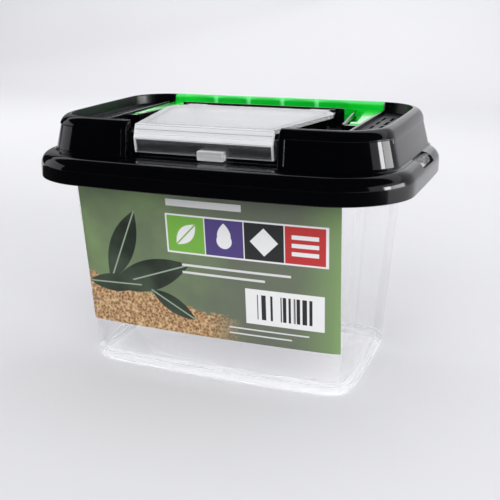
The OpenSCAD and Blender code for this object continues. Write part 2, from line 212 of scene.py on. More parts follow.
def close_up(obj):
    """Closes open rims with a face, merges doubles and turns every face outwards."""
    work = bmesh.new()
    work.from_mesh(obj.data)
    bmesh.ops.remove_doubles(work, verts=work.verts, dist=SAME_SPOT)
    bmesh.ops.holes_fill(work, edges=[e for e in work.edges if e.is_boundary], sides=0)
    bmesh.ops.recalc_face_normals(work, faces=work.faces)
    if work.calc_volume(signed=True) < 0:
        bmesh.ops.reverse_faces(work, faces=work.faces)
    work.to_mesh(obj.data)
    work.free()
    return obj


def add_object(name, data):
    obj = bpy.data.objects.new(name, data)
    bpy.context.scene.collection.objects.link(obj)
    return obj


print("points closer than", SAME_SPOT, "m are merged")

# %% [markdown]
# All the rings of a loft share one outline. Each of its points holds the corner of a square that it
# belongs to and the direction in which it leaves that corner's centre. The tree scales the first
# by a ring's half sizes and the second by its corner radius, so one list serves every size of
# ring, and the points of neighbouring rings always pair up. The tree's finish stays empty here,
# because a piece gets its finish in its last step, after all the cuts.

# %% Unit outline and loft
CORNER_STEPS = 18
LONG_STEPS = 24
SHORT_STEPS = 16


def unit_outline():
    """(corner centre, direction) of each point: round a corner, then along the side after it."""
    spots, ways = [], []
    centres = [(1, 1), (-1, 1), (-1, -1), (1, -1)]
    for q in range(4):
        here, after = centres[q], centres[(q + 1) % 4]
        for i in range(CORNER_STEPS):
            turn = math.pi / 2 * (q + i / (CORNER_STEPS - 1))
            spots.append((here[0], here[1], 0))
            ways.append((math.cos(turn), math.sin(turn), 0))
        steps = LONG_STEPS if q % 2 == 0 else SHORT_STEPS
        for j in range(1, steps):
            t = j / steps
            turn = math.pi / 2 * (q + 1)
            spots.append((here[0] + (after[0] - here[0]) * t, here[1] + (after[1] - here[1]) * t, 0))
            ways.append((math.cos(turn), math.sin(turn), 0))
    return spots, ways


def loft(name, rings):
    """Closed solid through rings (a, b, r, end bow, long bow, z, rise, shift), in millimetres."""
    spots, ways = unit_outline()
    count = len(spots) + len(rings)
    blank = [(0, 0, 0)]
    lists = {
        "spot": spots + blank * len(rings),
        "way": ways + blank * len(rings),
        "half": blank * len(spots) + [tuple(v * MM for v in ring[0:3]) for ring in rings],
        "bend": blank * len(spots) + [tuple(v * MM for v in ring[3:6]) for ring in rings],
        "lean": blank * len(spots) + [(ring[6], ring[7] * MM, 0) for ring in rings],
    }
    mesh = bpy.data.meshes.new(name)
    mesh.from_pydata([(0, 0, MM * i) for i in range(count)], [], [])
    for key, values in lists.items():
        layer = mesh.attributes.new(key, "FLOAT_VECTOR", "POINT")
        layer.data.foreach_set("vector", [v for triple in values for v in triple])
    obj = add_object(name, mesh)
    modifier = obj.modifiers.new("loft", "NODES")
    modifier.node_group = LOFT
    set_inputs(modifier, {"Outline Points": len(spots), "Rings": len(rings)})
    return close_up(settle(obj))


print("outline points", len(unit_outline()[0]))

# %% [markdown]
# Walls, ribs and cuts are straight prisms and turned rods. A bevel on the small ones gives each
# of them a soft edge before it joins a larger piece. The deck of the lid slopes, so many of them
# are drawn flat and then laid on it by one function.

# %% Prisms, boxes and rods
DECK_Z = 117.5
DECK_RISE = 0.025
SOFT_ANGLE = math.radians(25)


def on_deck(point):
    """A point of the sloping deck's own frame, in the frame of the whole case."""
    x, y, d = point
    tilt = math.atan(DECK_RISE)
    return (x, y * math.cos(tilt) - d * math.sin(tilt), DECK_Z + y * math.sin(tilt) + d * math.cos(tilt))


def prism(name, outline, low, high, axis="z", place=None, soft=0, steps=3):
    """Outline swept along an axis. For axis x the outline is (y, z), and for z it is (x, y)."""
    put = {"x": lambda u, v, w: (w, u, v), "z": lambda u, v, w: (u, v, w)}[axis]
    ends = [[put(u, v, w) for u, v in outline] for w in (low, high)]
    points = [place(p) if place else p for end in ends for p in end]
    n = len(outline)
    faces = [list(range(n)), list(range(n, 2 * n))]
    faces += [[i, (i + 1) % n, n + (i + 1) % n, n + i] for i in range(n)]
    mesh = bpy.data.meshes.new(name)
    mesh.from_pydata([tuple(v * MM for v in p) for p in points], [], faces)
    obj = close_up(add_object(name, mesh))
    if soft:
        soften(obj, soft, steps)
    return obj


def soften(obj, width, steps=3):
    bevel = obj.modifiers.new("soft_edge", "BEVEL")
    bevel.width = width * MM
    bevel.segments = steps
    bevel.limit_method = "ANGLE"
    bevel.angle_limit = SOFT_ANGLE
    return settle(obj)


def block(name, low, high, place=None, soft=0):
    outline = [(low[0], low[1]), (high[0], low[1]), (high[0], high[1]), (low[0], high[1])]
    return prism(name, outline, low[2], high[2], "z", place, soft)


def circle(centre, radius, steps=48):
    turns = [2 * math.pi * i / steps for i in range(steps)]
    return [(centre[0] + radius * math.cos(t), centre[1] + radius * math.sin(t)) for t in turns]


def rod(name, radius, start, end, centre, place=on_deck, soft=0):
    """Round bar along X; centre is its (y, height)."""
    return prism(name, circle(centre, radius), start, end, "x", place, soft)


print("deck slopes", round(math.degrees(math.atan(DECK_RISE)), 2), "degrees")

# %% [markdown]
# The solids are joined and cut with booleans, which is how a toolmaker would think of them: a
# block added here, a pocket milled there. The manifold solver is quick and exact on closed
# shells, which all of these are. The tools are used up, so none of them is left in the scene.

# %% Joins and cuts
def work_on(target, tools, operation):
    """Joins the tools to the target, or cuts them from it, and uses them up."""
    for tool in tools:
        modifier = target.modifiers.new("fit", "BOOLEAN")
        modifier.solver = "MANIFOLD"
        modifier.operation = operation
        modifier.object = tool
    settle(target)
    for tool in tools:
        bpy.data.objects.remove(tool)
    return target


def join(target, tools):
    return work_on(target, tools, "UNION")


def cut(target, tools):
    return work_on(target, tools, "DIFFERENCE")


# %% [markdown]
# Every piece ends the same way. Faces are shaded smooth, an edge stays sharp only past a set
# angle, and weighted normals keep large flat faces flat beside their soft edges. The plain solid
# that the piece stands for is hidden, and the piece hangs on an empty of the body that carries it.

# %% Last step of a piece
SHARP_ANGLE = math.radians(32)


def finish_piece(obj, node, body, material):
    """Smooth faces with sharp edges past an angle, the material, and the place in the frame."""
    close_up(obj)
    mesh = obj.data
    mesh.materials.clear()
    mesh.materials.append(material)
    mesh.polygons.foreach_set("use_smooth", [True] * len(mesh.polygons))
    mesh.set_sharp_from_angle(angle=SHARP_ANGLE)
    weighted = obj.modifiers.new("weighted", "WEIGHTED_NORMAL")
    weighted.keep_sharp = True
    mesh = settle(obj).data
    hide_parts(node)
    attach(obj, body)
    print(obj.name, "faces", len(mesh.polygons), "corners", len(mesh.loops))


print("edges stay sharp past", round(math.degrees(SHARP_ANGLE)), "degrees")

# %% [markdown]
# Slits and ridges repeat at even steps. One small tree stands copies of a piece on a grid of
# points and makes them real; its inputs say how many there are and how far apart. Array
# modifiers would do the same, one for each direction.

# %% Tree that repeats a piece
def repeat_tree():
    tree = bpy.data.node_groups.new("repeat_on_grid", "GeometryNodeTree")
    face = tree.interface
    face.new_socket("Geometry", in_out="INPUT", socket_type="NodeSocketGeometry")
    for name in ("Columns", "Rows"):
        face.new_socket(name, in_out="INPUT", socket_type="NodeSocketInt")
    for name in ("Length", "Depth"):
        face.new_socket(name, in_out="INPUT", socket_type="NodeSocketFloat")
    face.new_socket("Middle", in_out="INPUT", socket_type="NodeSocketVector")
    face.new_socket("Finish", in_out="INPUT", socket_type="NodeSocketMaterial")
    face.new_socket("Geometry", in_out="OUTPUT", socket_type="NodeSocketGeometry")
    net = Net(tree)
    source = net.add("NodeGroupInput")
    grid = net.add("GeometryNodeMeshGrid", None, {
        "Size X": source.of("Length"), "Size Y": source.of("Depth"),
        "Vertices X": source.of("Columns"), "Vertices Y": source.of("Rows")})
    points = net.add("GeometryNodeMeshToPoints", None, {0: grid})
    placed = net.add("GeometryNodeSetPosition", None, {"Geometry": points, "Offset": source.of("Middle")})
    copies = net.add("GeometryNodeInstanceOnPoints", None, {"Points": placed, "Instance": source})
    real = net.add("GeometryNodeRealizeInstances", None, {0: copies})
    done = net.add("GeometryNodeSetMaterial", None, {"Geometry": real, "Material": source.of("Finish")})
    net.add("NodeGroupOutput", None, {0: done})
    return tree


REPEAT = repeat_tree()


def repeat(obj, columns, rows, length, depth, middle):
    """Copies of a piece, made about the origin, on a grid about the middle point (mm)."""
    modifier = obj.modifiers.new("repeat", "NODES")
    modifier.node_group = REPEAT
    set_inputs(modifier, {"Columns": columns, "Rows": rows, "Length": length * MM, "Depth": depth * MM,
                          "Middle": [v * MM for v in middle]})
    return settle(obj)


print("repeat nodes", len(REPEAT.nodes))

# %% [markdown]
# The tank is clear styrene, moulded in one shot: walls of even thickness that lean out so that it
# leaves the mould, a floor held up by a foot ring, and a stepped rim that fits inside the brim of
# the lid. All its curves are in the loft's rings, outside first and then back down the inside.

# %% Tank
TANK_H = 103.2
FOOT_A, FOOT_B = 67.0, 41.0
DRAFT = 0.0633
WALL = 1.8
TANK_CORNER = 10.0
END_BOW, LONG_BOW = 2.0, 2.4
LID_A, LID_B, LID_CORNER = 90.0, 64.0, 33.0
BRIM_END_BOW, BRIM_LONG_BOW = 0.8, 4.9
LID_WALL = 2.0
RIM_GAP = 0.7
RIM_IN = LID_WALL + RIM_GAP
LEDGE_Z = TANK_H - 7.2
FOOT_H, FLOOR_Z = 2.4, 4.6
LUG_Y0, LUG_Y1 = -7.5, 14.5


def tank_ring(z, out=0.0):
    return (FOOT_A + DRAFT * z + out, FOOT_B + DRAFT * z + out, max(TANK_CORNER + out, 2),
            END_BOW, LONG_BOW, z, 0, 0)


def rim_ring(z, out=0.0):
    return (LID_A - RIM_IN + out, LID_B - RIM_IN + out, LID_CORNER - RIM_IN + out,
            BRIM_END_BOW, BRIM_LONG_BOW, z, 0, 0)


def quarter(steps):
    """Even steps through a quarter turn, both ends included."""
    return [math.pi / 2 * i / steps for i in range(steps + 1)]


def tank_rings():
    under = LEDGE_Z - WALL
    foot_round, foot_soft, bend, rim_edge = 0.9, 0.25, 3, 1.2
    side = (20, 45, 70)
    rings = [tank_ring(FOOT_H, -WALL), tank_ring(foot_soft, -WALL), tank_ring(0, -WALL + foot_soft)]
    rings += [tank_ring(foot_round * (1 - math.sin(t)), -foot_round * (1 - math.cos(t)))
              for t in reversed(quarter(5))]
    rings += [tank_ring(z) for z in (*side, under - bend)]
    rings += [tank_ring(under - bend + bend * math.sin(t), bend * (1 - math.cos(t)))
              for t in quarter(6)[1:]]
    rings += [rim_ring(under, -rim_edge), rim_ring(under + 0.35, -0.35), rim_ring(under + rim_edge)]
    rings += [rim_ring(TANK_H - rim_edge), rim_ring(TANK_H - 0.4, -0.6), rim_ring(TANK_H, -rim_edge)]
    rings += [rim_ring(TANK_H, -WALL), rim_ring(LEDGE_Z + 1, -WALL), rim_ring(LEDGE_Z + 0.3, -WALL - 0.3)]
    rings += [rim_ring(LEDGE_Z, -WALL - 1), tank_ring(LEDGE_Z, bend - WALL)]
    rings += [tank_ring(LEDGE_Z - bend * 1.5 * math.sin(t), -WALL + bend * math.cos(t) ** 2)
              for t in quarter(6)[1:]]
    rings += [tank_ring(z, -WALL) for z in (*reversed(side), FLOOR_Z + bend)]
    rings += [tank_ring(FLOOR_Z + bend * (1 - math.sin(t)), -WALL - bend * (1 - math.cos(t)))
              for t in quarter(6)[1:]]
    return rings


def make_tank():
    """The loft, and a lug on each end that shows in a slot of the lid."""
    tank = loft("tank_clear", tank_rings())
    lug_x = LID_A - RIM_IN
    for side in (-1, 1):
        low, high = sorted((side * (lug_x - 3), side * (lug_x + 0.35)))
        lug = block("lug", (low, LUG_Y0, LEDGE_Z + 1.6), (high, LUG_Y1, TANK_H + 1.5), soft=0.5)
        join(tank, [lug])
    return tank


tank = make_tank()
print("tank corners", len(tank.data.vertices))

# %% [markdown]
# The lid is one black moulding. Its outside runs from the skirt over a round brim to a flat
# shelf, up the leaning wall of the dome, over a soft crest and down into the pocket. The crest
# and the deck slope up to the back, so each ring of the dome carries a rise. The inside follows
# at the thickness of the wall.

# %% Lid shell
SHELF_Z = TANK_H + LID_WALL
SKIRT_Z = SHELF_Z - 11.8
DOME_H = 17.5
CREST_Z = SHELF_Z + DOME_H
SHOULDER_H = DOME_H - 6.7
DOME_A, DOME_FRONT, DOME_REAR = 83.5, 50.5, 57.5
DOME_BOW_END, DOME_BOW_LONG = 0.8, 2.5
SHOULDER_IN = (2.5, 1.2, 3.5)
CREST_IN = (4.5, 4.6, 6.5)
BRIM_ROUND = 6.0
DECK_T = 1.8
DOME_CORNER = 20.0


def dome_ring(ends, front, rear, r, z, rise):
    return (DOME_A - ends, (DOME_FRONT + DOME_REAR - front - rear) / 2, r, DOME_BOW_END, DOME_BOW_LONG,
            z, rise, (DOME_REAR - rear - DOME_FRONT + front) / 2)


def dome_rise(h):
    """The slope of a ring: none at the shelf, the deck's at the crest."""
    return DECK_RISE * max(h, 0) / DOME_H


def wall_ring(h, inset=0.0):
    s = h / SHOULDER_H
    ends, front, rear = (v * s + inset for v in SHOULDER_IN)
    return dome_ring(ends, front, rear, DOME_CORNER - s - inset, SHELF_Z + h, dome_rise(h))


def sunk_ring(h, depth, past=0.15):
    """The wall sunk by a depth in front; the sunk face runs out through the wall round the corner."""
    s = h / SHOULDER_H
    ends, front, rear = (v * s + sink for v, sink in zip(SHOULDER_IN, (-past, depth, depth)))
    return dome_ring(ends, front, rear, DOME_CORNER - s, SHELF_Z + h, dome_rise(h))


def round_ring(t):
    """The crest's rounding, from the shoulder at 0 to the top at 1."""
    c, s = 1 - math.cos(math.pi / 2 * t), math.sin(math.pi / 2 * t)
    h = SHOULDER_H + (DOME_H - SHOULDER_H) * s
    ends, front, rear = (a + b * c for a, b in zip(SHOULDER_IN, CREST_IN))
    return dome_ring(ends, front, rear, DOME_CORNER - 1 - 2 * c, SHELF_Z + h, dome_rise(h))


def pocket_ring(inset, z):
    ends, front, rear = (a + b + inset for a, b in zip(SHOULDER_IN, CREST_IN))
    return dome_ring(ends, front, rear, DOME_CORNER - 3 - inset, z, DECK_RISE)


def brim_ring(inset, z):
    return (LID_A - inset, LID_B - inset, LID_CORNER - inset, BRIM_END_BOW, BRIM_LONG_BOW, z, 0, 0)


def brim_arc(t):
    return brim_ring(BRIM_ROUND * (1 - math.cos(t)), SHELF_Z - BRIM_ROUND * (1 - math.sin(t)))


def lid_rings():
    """Down the inside of the shell, round the skirt, up the outside and over the crest to the deck."""
    lip, foot, edge = 0.8, 0.9, 1.8
    rings = [pocket_ring(-1.5, DECK_Z - DECK_T), wall_ring(SHOULDER_H - 1.2, LID_WALL)]
    rings += [wall_ring(-LID_WALL, LID_WALL), brim_ring(LID_WALL + edge, TANK_H)]
    rings += [brim_ring(LID_WALL + edge * 0.3, TANK_H - edge * 0.3), brim_ring(LID_WALL, TANK_H - edge)]
    rings += [brim_ring(LID_WALL, SKIRT_Z + 0.3), brim_ring(LID_WALL - 0.3, SKIRT_Z)]
    rings += [brim_ring(0.5, SKIRT_Z), brim_ring(0.15, SKIRT_Z + 0.15), brim_ring(0, SKIRT_Z + 0.5)]
    rings += [brim_arc(t) for t in quarter(10)]
    rings += [wall_ring(0, -foot), wall_ring(foot * 0.3, -foot * 0.3), wall_ring(foot)]
    rings += [wall_ring(SHOULDER_H * k) for k in (0.35, 0.7)]
    rings += [round_ring(k / 12) for k in range(13)]
    rings += [pocket_ring(0.3 * math.sin(t), CREST_Z - lip * (1 - math.cos(t))) for t in quarter(4)[1:]]
    rings += [pocket_ring(0.85, DECK_Z + 0.6), pocket_ring(1.0, DECK_Z + 0.2), pocket_ring(1.4, DECK_Z)]
    return rings


lid = loft("lid_black", lid_rings())
print("lid corners", len(lid.data.vertices))

# %% [markdown]
# The shell is thin, so the floors and walls of the well and of the front recess have to be put
# into it as blocks before anything is hollowed out. Their outer faces end inside the wall of the
# dome, where the join swallows them.

# %% Blocks of the well and the recess
HANDLE_A = 58.2
WELL_A = HANDLE_A + 0.6
WELL_D = 5.0
LIP_A = 33.0
HATCH_FRONT, HATCH_REAR = 45.5, 18.5
WELL_FRONT = HATCH_FRONT - 3.3
RECESS_A = LIP_A + 3
RECESS_BACK = HATCH_FRONT - 1.5
FAR = 200.0
PIVOT_D = -1.7


def ring_outline(ring):
    """The (x, y) points of a ring, in millimetres."""
    a, b, r, end_bow, long_bow, _, _, shift = ring
    points = []
    for spot, way in zip(*unit_outline()):
        x, y = spot[0] * (a - r) + way[0] * r, spot[1] * (b - r) + way[1] * r
        bowed_x = x * (1 - end_bow / a * (y / b) ** 2)
        points.append((bowed_x, y * (1 - long_bow / b * (x / a) ** 2) + shift))
    return points


def well_block():
    out = WELL_A + 1.8
    plan = ring_outline(wall_ring(SHOULDER_H * 0.6, LID_WALL * 0.7))
    body = prism("well_block", plan, -WELL_D - DECK_T, -DECK_T / 2, "z", on_deck)
    limits = block("limits", (-out, -WELL_FRONT - 1.8, -20), (out, FAR, 20), on_deck)
    work_on(body, [limits], "INTERSECT")
    for side in (-1, 1):
        low, high = sorted((side * (WELL_A + 0.5), side * (WELL_A + 3.6)))
        join(body, [block("pivot", (low, -3, PIVOT_D - 3), (high, 3, -0.6), on_deck)])
    return body


def recess_block():
    out = RECESS_A + 1.8
    low, top = TANK_H + 1, DECK_Z - DECK_RISE * HATCH_FRONT - DECK_T * 0.6
    front = DOME_FRONT - DOME_BOW_LONG * (out / DOME_A) ** 2 - 1
    back = -RECESS_BACK + 1.8
    outline = [(-front, low), (back, low), (back, top), (-front + SHOULDER_IN[1] + 0.6, top)]
    return prism("recess_block", outline, -out, out, "x")


join(lid, [well_block(), recess_block()])
print("lid with blocks", len(lid.data.polygons))

# %% [markdown]
# Then come the cuts: the well, the recess, the sunk panels on the front shoulders and the slots
# that show the lugs of the tank. The cutters are a little larger than what they cut, so no two
# faces coincide.

# %% Well, recess, panels and slots
def recess_cutter():
    """One stepped block: the recess in front, and the shallow step where the lip swings over it."""
    floor_z, above, tread = SHELF_Z + 0.4, SHELF_Z + 60, 3
    step_z = DECK_Z - DECK_RISE * RECESS_BACK - 0.2
    outline = [(-FAR, floor_z), (-RECESS_BACK, floor_z), (-RECESS_BACK, step_z),
               (-RECESS_BACK + tread, step_z + DECK_RISE * tread), (-RECESS_BACK + tread, above),
               (-FAR, above)]
    return prism("recess", outline, -RECESS_A, RECESS_A, "x")


def panel_cutter(side):
    """What lies in front of the sunk face: a block without the core that the face belongs to."""
    depth = 0.8
    low, high = sorted((side * (RECESS_A + 2.5), side * FAR))
    top = SHELF_Z + SHOULDER_H + 1.5
    cutter = block("panel", (low, -FAR, SHELF_Z + 1), (high, -DOME_FRONT + 19, top))
    heights = (-1, 0, SHOULDER_H / 2, SHOULDER_H, SHOULDER_H + 3)
    core = loft("core", [sunk_ring(h, depth) for h in heights])
    return cut(cutter, [core])


def slot_cutter(side):
    """The slot is longer than the lug by a gap at each end."""
    gap = 1.1
    low, high = sorted((side * (DOME_A + 0.3), side * FAR))
    return block("slot", (low, LUG_Y0 - gap, SHELF_Z - 4), (high, LUG_Y1 + gap, SHELF_Z + 40))


cut(lid, [
    block("well", (-WELL_A, -WELL_FRONT, -WELL_D), (WELL_A, FAR, 60), on_deck),
    recess_cutter(),
    panel_cutter(-1), panel_cutter(1), slot_cutter(-1), slot_cutter(1)])
print("lid cut", len(lid.data.polygons))

# %% [markdown]
# The hatch has two round corners a side, joined by tangents. The same outline, drawn smaller,
# gives the curb that it lies on and the opening under it. Its points come from the two circles
# and the angle of their common tangent, which is shorter than a list and stays true when a size
# changes.

# %% Hatch outline
HATCH_A = 43.5
REAR_R, LIP_R = 13.0, 2.0
REAR_C = (HATCH_A - REAR_R, HATCH_REAR - REAR_R)
FRONT_C = (LIP_A - LIP_R, -HATCH_FRONT + LIP_R)
SPAN = math.dist(REAR_C, FRONT_C)
LEAN = math.atan2(REAR_C[1] - FRONT_C[1], REAR_C[0] - FRONT_C[0]) - math.acos((LIP_R - REAR_R) / SPAN)


def arc(centre, radius, start, end, steps):
    turns = [start + (end - start) * i / steps for i in range(steps + 1)]
    return [(centre[0] + radius * math.cos(t), centre[1] + radius * math.sin(t)) for t in turns]


def hatch_outline(grow):
    r = LIP_R + grow
    if r > 0:
        half = arc(FRONT_C, r, -math.pi / 2, LEAN, 6)
    else:
        n = (math.cos(LEAN), math.sin(LEAN))
        k = r / (1 - n[1])
        half = [(FRONT_C[0] + k * n[0], FRONT_C[1] + k * (n[1] - 1))]
    half += arc(REAR_C, REAR_R + grow, LEAN, math.pi / 2, 24)
    return half + [(-x, y) for x, y in reversed(half)]


print("hatch outline points", len(hatch_outline(0)))

# %% [markdown]
# On the deck stand the curb, two slanting guide ribs, the ribs beside the arms of the handle, the
# ears of the hatch hinge and a low rail behind it. The side decks are pierced by rows of air
# slits, which the repeat tree lays out. The bores of both hinges are cut last, through it all.

# %% Deck fittings
CURB_IN, CURB_T = 3.0, 1.6
HATCH_UNDER, HATCH_TOP = 2.2, 4.0
ARM_TOP = 1.3
ARM_W, ARM_ROOT_W, REACH = 5.0, 11.0, 45.5
ARM_SLOPE = (ARM_ROOT_W - ARM_W) / REACH
BARREL_X, BARREL_L, BARREL_R = 28.0, 9.5, 1.9
HINGE_Y, HINGE_D = HATCH_REAR + 3, HATCH_TOP - 0.2 - BARREL_R
EAR_X, EAR_T = BARREL_X + BARREL_L + 0.3, 2.1
ROOT_D = -WELL_D - 0.5
PIVOT_BORE_R, EAR_BORE_R = 1.25, 1.05


def mirrored(points, side):
    return [(side * x, y) for x, y in points]


def deck_fittings(side):
    """Cheek and ribs beside the handle's arm, and the ear of the hatch hinge, on one side."""
    rib_x, rib_t, rib_y0, rib_y1 = HANDLE_A - ARM_W - 1.6, 1.2, -8, 30
    x0, x1 = rib_x - rib_y0 * ARM_SLOPE, rib_x - rib_y1 * ARM_SLOPE
    rib = [(x0 - rib_t, rib_y0), (x0, rib_y0), (x1, rib_y1), (x1 - rib_t, rib_y1)]
    edge = [(WELL_A + 0.1, -WELL_FRONT + 1), (WELL_A + 1.5, -WELL_FRONT + 1),
            (WELL_A + 1.5, DOME_REAR - 18), (WELL_A + 0.1, DOME_REAR - 18)]
    cheek_low, cheek_high = sorted((side * (HANDLE_A - ARM_W - 0.8), side * (WELL_A + 1)))
    ear_r = BARREL_R + 0.2
    low, high = sorted((side * EAR_X, side * (EAR_X + EAR_T)))
    return [
        block("cheek", (cheek_low, -7, ROOT_D), (cheek_high, -3.8, ARM_TOP), on_deck, 0.4),
        prism("guide_rib", mirrored(rib, side), ROOT_D, ARM_TOP + 0.6, "z", on_deck, 0.3),
        prism("edge_rib", mirrored(edge, side), -0.5, 2, "z", on_deck, 0.3),
        block("ear", (low, HINGE_Y - ear_r, ROOT_D), (high, HINGE_Y + ear_r, HINGE_D), on_deck),
        rod("ear_round", ear_r + 0.002, low, high, (HINGE_Y, HINGE_D)),
    ]


def slit_cutters():
    slit_w, slit_l, rows, columns = 1.4, 9.0, 5, 3
    deck_in = WELL_A + 2.5
    deck_out = DOME_A - SHOULDER_IN[0] - CREST_IN[0] - 2.7
    pitch, row_pitch = (deck_out - deck_in) / columns, slit_l + 3
    tools = []
    for side in (-1, 1):
        slit = block("slit", (-slit_w / 2, -slit_l / 2, -4), (slit_w / 2, slit_l / 2, 4), soft=0.3)
        middle = (side * (deck_in + deck_out) / 2, 0, DECK_Z - 1)
        length, depth = pitch * (columns - 1), row_pitch * (rows - 1)
        tools.append(repeat(slit, columns, rows, length, depth, middle))
    return tools


def hinge_rail():
    """Low rail behind the hinge, against which the raised hatch leans."""
    low, high = (-HATCH_A, HINGE_Y + 3.3, ROOT_D), (HATCH_A, HINGE_Y + 4.7, HATCH_TOP + 0.1)
    return block("hinge_rail", low, high, on_deck, 0.4)


def bore_cutters(side):
    pin_low, pin_high = sorted((side * (WELL_A - 1), side * (WELL_A + 4.6)))
    ear_low, ear_high = sorted((side * (EAR_X - 1), side * (EAR_X + EAR_T + 1)))
    return [rod("pivot_bore", PIVOT_BORE_R, pin_low, pin_high, (0, PIVOT_D)),
            rod("ear_bore", EAR_BORE_R, ear_low, ear_high, (HINGE_Y, HINGE_D))]


join(lid, [prism("curb", hatch_outline(-CURB_IN), ROOT_D, HATCH_UNDER, "z", on_deck, 0.25)])
join(lid, deck_fittings(1) + deck_fittings(-1))
join(lid, [hinge_rail()])
cut(lid, [prism("opening", hatch_outline(-CURB_IN - CURB_T), -WELL_D - DECK_T - 1, 60, "z", on_deck)])
cut(lid, slit_cutters())
for side in (-1, 1):
    cut(lid, bore_cutters(side))
print("lid done", len(lid.data.polygons))

# %% [markdown]
# The hatch is clear and moulded in one piece: a flat plate, a lip that drops over the front of
# the dome with a small bulge at its knee, a finger tab, and two barrels with pins at the back.
# Clear plastic shows every face inside it, so the parts are joined into one skin.

# %% Hatch
LIP_BULGE, LIP_T = 1.9, 1.6
LIP_KNEE, LIP_FOOT = -2.3, -8.8


def hatch_lip():
    f, t = -HATCH_FRONT, LIP_T
    knee, foot = (f - LIP_BULGE, LIP_KNEE), (f - LIP_BULGE + 0.9, LIP_FOOT)
    outline = [(f + 1.4, HATCH_TOP), (f + 0.5, HATCH_TOP - 0.15), (f, HATCH_TOP - 0.7), knee, foot,
               (foot[0] + t, foot[1]), (knee[0] + t, knee[1]), (f + t, HATCH_UNDER), (f + 4, HATCH_UNDER)]
    return prism("lip", outline, -LIP_A, LIP_A, "x", on_deck, 0.3, 2)


def finger_tab():
    face = -HATCH_FRONT - LIP_BULGE
    return block("tab", (-1.0, face - 2.6, -10.0), (11.4, face + 1.4, -5.8), on_deck, 0.6)


def make_hatch():
    plate = prism("hatch_clear", hatch_outline(0), HATCH_UNDER, HATCH_TOP, "z", on_deck, 0.35)
    join(plate, [hatch_lip(), finger_tab()])
    for side in (-1, 1):
        low, high = sorted((side * BARREL_X, side * (BARREL_X + BARREL_L)))
        pin_low, pin_high = sorted((side * (BARREL_X + 1), side * (EAR_X + EAR_T - 0.2)))
        web_low = (low + 0.01, HATCH_REAR - 3, HATCH_UNDER + 0.01)
        web_high = (high - 0.01, HINGE_Y, HATCH_TOP - 0.21)
        web = block("web", web_low, web_high, on_deck)
        barrel = rod("barrel", BARREL_R, low, high, (HINGE_Y, HINGE_D), soft=0.25)
        pin = rod("pin", 1.0, pin_low, pin_high, (HINGE_Y, HINGE_D), soft=0.2)
        join(plate, [web, barrel, pin])
    return plate


hatch = make_hatch()
print("hatch faces", len(hatch.data.polygons))

# %% [markdown]
# The handle is a wide U. Its grip completes the back of the dome: seen from the end it is upright
# in front, round on top and falls in a long curve behind. A prism of that outline is enough.

# %% Grip
GRIP_REAR = 53.1
GRIP_CREST = 48.0
GRIP_TOP = 5.2
GRIP_ROUND = 2.4


def grip_profile():
    crest = [(GRIP_CREST + (GRIP_REAR - GRIP_CREST) * math.cos(t), GRIP_TOP - 6.5 * (1 - math.sin(t)))
             for t in quarter(14)]
    front = [(REACH + GRIP_ROUND * (1 - math.sin(t)), GRIP_TOP - GRIP_ROUND * (1 - math.cos(t)))
             for t in quarter(10)]
    return [(REACH, -WELL_D), (GRIP_REAR, -WELL_D)] + crest + front


print("grip outline points", len(grip_profile()))

# %% [markdown]
# Four ridges part the fingers. Each is a half-round bar that runs up the front of the grip, bends
# over its edge and grows a little stouter on the way, which a plain cylinder can't do. Its skin
# is drawn ring by ring along a path. One is made about the origin, for the repeat tree.

# %% Ridges
RIDGE_X0, RIDGE_PITCH, RIDGES = -34.0, 19.0, 4


def ridge_piece():
    """One ridge about the origin: a half-round bar up the front of the grip and over its edge."""
    foot_r, head_r, proud, under = 0.9, 1.35, 0.45, 0.06
    bend = GRIP_TOP - GRIP_ROUND
    climb = GRIP_TOP - under - bend - head_r
    path = [(REACH + foot_r - proud, -WELL_D, foot_r), (REACH + foot_r - proud, bend - 1.5, foot_r)]
    for t in quarter(8):
        r = foot_r + (head_r - foot_r) * math.sin(t)
        back = 2.2 * (1 - math.cos(t))
        path.append((REACH + r - proud + back, bend + climb * math.sin(t), r))
    path.append((GRIP_CREST + 1.2, GRIP_TOP - under - head_r, head_r - 0.25))
    return tube("ridge", path, 16)


def tube(name, path, steps):
    """Round skin along a path of (y, height, radius) stations on the deck."""
    points, faces = [], []
    for k, (y, d, r) in enumerate(path):
        before, after = path[max(k - 1, 0)], path[min(k + 1, len(path) - 1)]
        along = Vector((0, after[0] - before[0], after[1] - before[1])).normalized()
        out = along.cross(Vector((1, 0, 0)))
        for i in range(steps):
            turn = 2 * math.pi * i / steps
            p = Vector((0, y, d)) + r * (math.cos(turn) * Vector((1, 0, 0)) + math.sin(turn) * out)
            points.append(on_deck(p))
    for k in range(len(path) - 1):
        for i in range(steps):
            j = (i + 1) % steps
            faces.append([k * steps + i, k * steps + j, (k + 1) * steps + j, (k + 1) * steps + i])
    mesh = bpy.data.meshes.new(name)
    mesh.from_pydata([tuple(v * MM for v in p) for p in points], [], faces)
    return close_up(add_object(name, mesh))


print("ridges", RIDGES, "every", RIDGE_PITCH, "mm")

# %% [markdown]
# The arms are flat and taper towards the pivots, with a round root where they meet the grip. A
# wedge takes off their inner upper edge. Boss and pin are turned rods. Very wide cylinders cut
# the shallow finger hollows between the ridges.

# %% Arms and the whole handle
SCALLOP = 0.8


